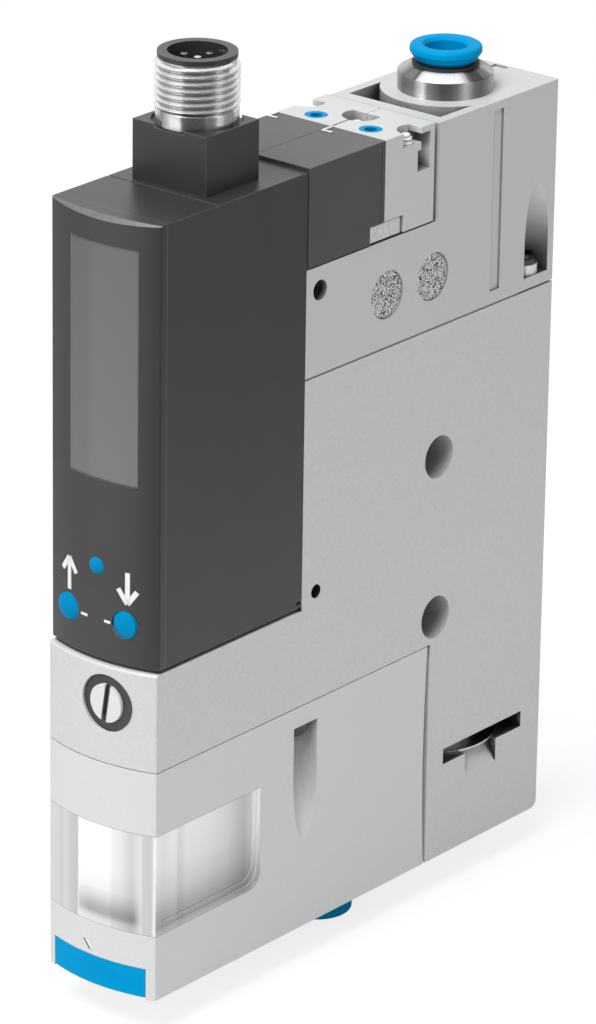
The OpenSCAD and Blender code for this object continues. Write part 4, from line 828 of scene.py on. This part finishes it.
def stroke(start, end, width):
    """A flat bar from start to end, given as X and Z in millimetres, before the cover."""
    a = Vector((start[0], 0, start[1])) * MM
    b = Vector((end[0], 0, end[1])) * MM
    run = b - a
    deselect()
    bpy.ops.mesh.primitive_grid_add(x_subdivisions=16, y_subdivisions=2, size=1.0)
    bar = bpy.context.object
    bar.scale = (run.length, width * MM, 1)
    bar.rotation_euler = (math.pi / 2, -math.atan2(run.z, run.x), 0)
    bar.location = (a + b) / 2 + before_cover
    bpy.ops.object.transform_apply(location=True, rotation=True, scale=True)
    return bar


def printed_mark(name, strokes, width):
    """Joins strokes, lays them on the cover and gives them the thickness of a print."""
    mark = joined(name, [stroke(start, end, width) for start, end in strokes])
    wrap = mark.modifiers.new("wrap", "SHRINKWRAP")
    wrap.target = nodes["display_cover"]
    wrap.wrap_method = "PROJECT"
    wrap.use_project_x = False
    wrap.use_project_y = True
    wrap.use_project_z = False
    wrap.use_negative_direction = True
    wrap.use_positive_direction = True
    wrap.offset = print_gap
    apply_modifiers(mark)
    skin = mark.modifiers.new("skin", "SOLIDIFY")
    skin.thickness = print_t
    skin.offset = 0.0
    apply_modifiers(mark)
    return dress(mark, mark_white, "module")


def arrow(name, x, tip_z, tail_z):
    """An open arrow from its tail to its tip, with two barbs."""
    width, barb_out, barb_back = 0.78, 1.5, 2.1
    tip = (x, tip_z)
    back_z = tip_z + math.copysign(barb_back, tail_z - tip_z)
    return printed_mark(name, [((x, tail_z), tip), ((x - barb_out, back_z), tip),
                               ((x + barb_out, back_z), tip)], width)


def dash(name, start_x, end_x, z):
    """A short level line beside a button."""
    width = 0.42
    return printed_mark(name, [((start_x, z), (end_x, z))], width)


cover_foot = cover_low.z / MM
dash_z = cover_foot + 6.4
arrow("up_arrow", -5.6, cover_foot + 14.1, cover_foot + 9.2)
arrow("down_arrow", 5.2, cover_foot + 9.8, cover_foot + 14.5)
dash("left_dash", -3.1, -1.8, dash_z)
dash("right_dash", 1.3, 2.4, dash_z)


# ---------- floor, light and camera ----------

floor_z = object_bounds()[0][2]
floor_gap = 0.0002


def seen_through(tree, shiny=False):
    """One for rays from the camera or through clear plastic, and for reflections if shiny."""
    rays = tree.nodes.new("ShaderNodeLightPath").outputs
    seen = worked_out(tree, "MAXIMUM", rays["Is Camera Ray"], rays["Is Transmission Ray"])
    return worked_out(tree, "MAXIMUM", seen, rays["Is Glossy Ray"]) if shiny else seen


floor_paper, floor_tree, floor_shader = new_finish("floor_paper", (0.86, 0.86, 0.86), 0.9)
paper_grain = speckle(floor_tree, 4.0)
floor_tree.links.new(tones(floor_tree, paper_grain, [(0.3, (0.85,) * 3), (0.7, (0.87,) * 3)]),
                     floor_shader.inputs["Base Color"])
floor_glow = floor_tree.nodes.new("ShaderNodeEmission")
floor_glow.inputs["Strength"].default_value = 1.1
glow_share = 0.72
mixer = floor_tree.nodes.new("ShaderNodeMixShader")
floor_tree.links.new(worked_out(floor_tree, "MULTIPLY", seen_through(floor_tree), glow_share),
                     mixer.inputs["Fac"])
floor_tree.links.new(floor_shader.outputs[0], mixer.inputs[1])
floor_tree.links.new(floor_glow.outputs[0], mixer.inputs[2])
floor_tree.links.new(mixer.outputs[0], floor_tree.nodes["Material Output"].inputs["Surface"])

deselect()
bpy.ops.mesh.primitive_plane_add(size=8.0, location=(0, 0, floor_z - floor_gap))
floor = bpy.context.object
floor.name = "floor"
floor.data.materials.append(floor_paper)

world = bpy.data.worlds.new("studio")
bpy.context.scene.world = world
world.use_nodes = True
sky = world.node_tree
backdrop = sky.nodes["Background"]
backdrop.inputs["Color"].default_value = WHITE
backdrop.inputs["Strength"].default_value = 0.32
seen_sky = sky.nodes.new("ShaderNodeBackground")
seen_sky.inputs["Color"].default_value = WHITE
seen_sky.inputs["Strength"].default_value = 1.0
blend_sky = sky.nodes.new("ShaderNodeMixShader")
sky.links.new(seen_through(sky, shiny=True), blend_sky.inputs["Fac"])
sky.links.new(backdrop.outputs[0], blend_sky.inputs[1])
sky.links.new(seen_sky.outputs[0], blend_sky.inputs[2])
sky.links.new(blend_sky.outputs[0], sky.nodes["World Output"].inputs["Surface"])


def softbox(name, place, width, height, power, target=(0, -0.01, 0.01)):
    """An area lamp that faces the middle of the object."""
    lamp = bpy.data.lights.new(name, "AREA")
    lamp.shape = "RECTANGLE"
    lamp.size = width
    lamp.size_y = height
    lamp.energy = power
    obj = bpy.data.objects.new(name, lamp)
    bpy.context.scene.collection.objects.link(obj)
    obj.location = place
    toward = Vector(target) - Vector(place)
    obj.rotation_euler = toward.to_track_quat("-Z", "Y").to_euler()


softbox("overhead_light", (0.03, -0.65, 1.126), 0.9, 0.7, 19.2)
softbox("side_light", (1.1, 0.2, 0.5), 0.5, 0.7, 0.8)


def reflected_card(name, tone, start, end, radius=0.17, height=0.42):
    """A curved card round the front of the object, seen only in its shiny surfaces."""
    deselect()
    bpy.ops.mesh.primitive_cylinder_add(vertices=180, radius=radius, depth=height,
                                        end_fill_type="NOTHING",
                                        location=(0, 0, floor_z + height / 2))
    card = named(name)
    middle, half = math.radians((start + end) / 2), math.radians((end - start) / 2)
    axis = Vector((math.cos(middle), math.sin(middle)))
    pick(card, lambda co, n: co.xy.normalized().dot(axis) < math.cos(half), "FACE")
    bpy.ops.mesh.delete(type="FACE")
    bpy.ops.object.mode_set(mode="OBJECT")
    card.data.materials.append(moulded_finish(name + "_card", tone, 0.9))
    card.visible_camera = False
    card.visible_diffuse = False
    card.visible_transmission = False
    card.visible_shadow = False


reflected_card("dark_flag", (0.07, 0.07, 0.07), -92, -10)
reflected_card("right_flag", (0.40, 0.40, 0.40), 15, 70)
reflected_card("left_flag", (0.97, 0.97, 0.97), -166, -121)

camera_data = bpy.data.cameras.new("camera")
camera_data.sensor_fit = "VERTICAL"
camera_data.sensor_height = 36.0
camera_data.lens = 206.49
camera_data.clip_start = 0.05
camera_data.clip_end = 20.0
camera = bpy.data.objects.new("camera", camera_data)
bpy.context.scene.collection.objects.link(camera)
right = Vector((0.771495, 0.636085, 0.013840))
up = Vector((-0.244419, 0.276228, 0.929493))
back = Vector((0.587413, -0.720482, 0.368580))
place = Vector((0.499279, -0.632510, 0.320642))
turned = Matrix((right, up, back)).transposed().to_4x4()
camera.matrix_world = Matrix.Translation(place) @ turned
bpy.context.scene.camera = camera
bpy.context.scene.view_settings.view_transform = "Standard"
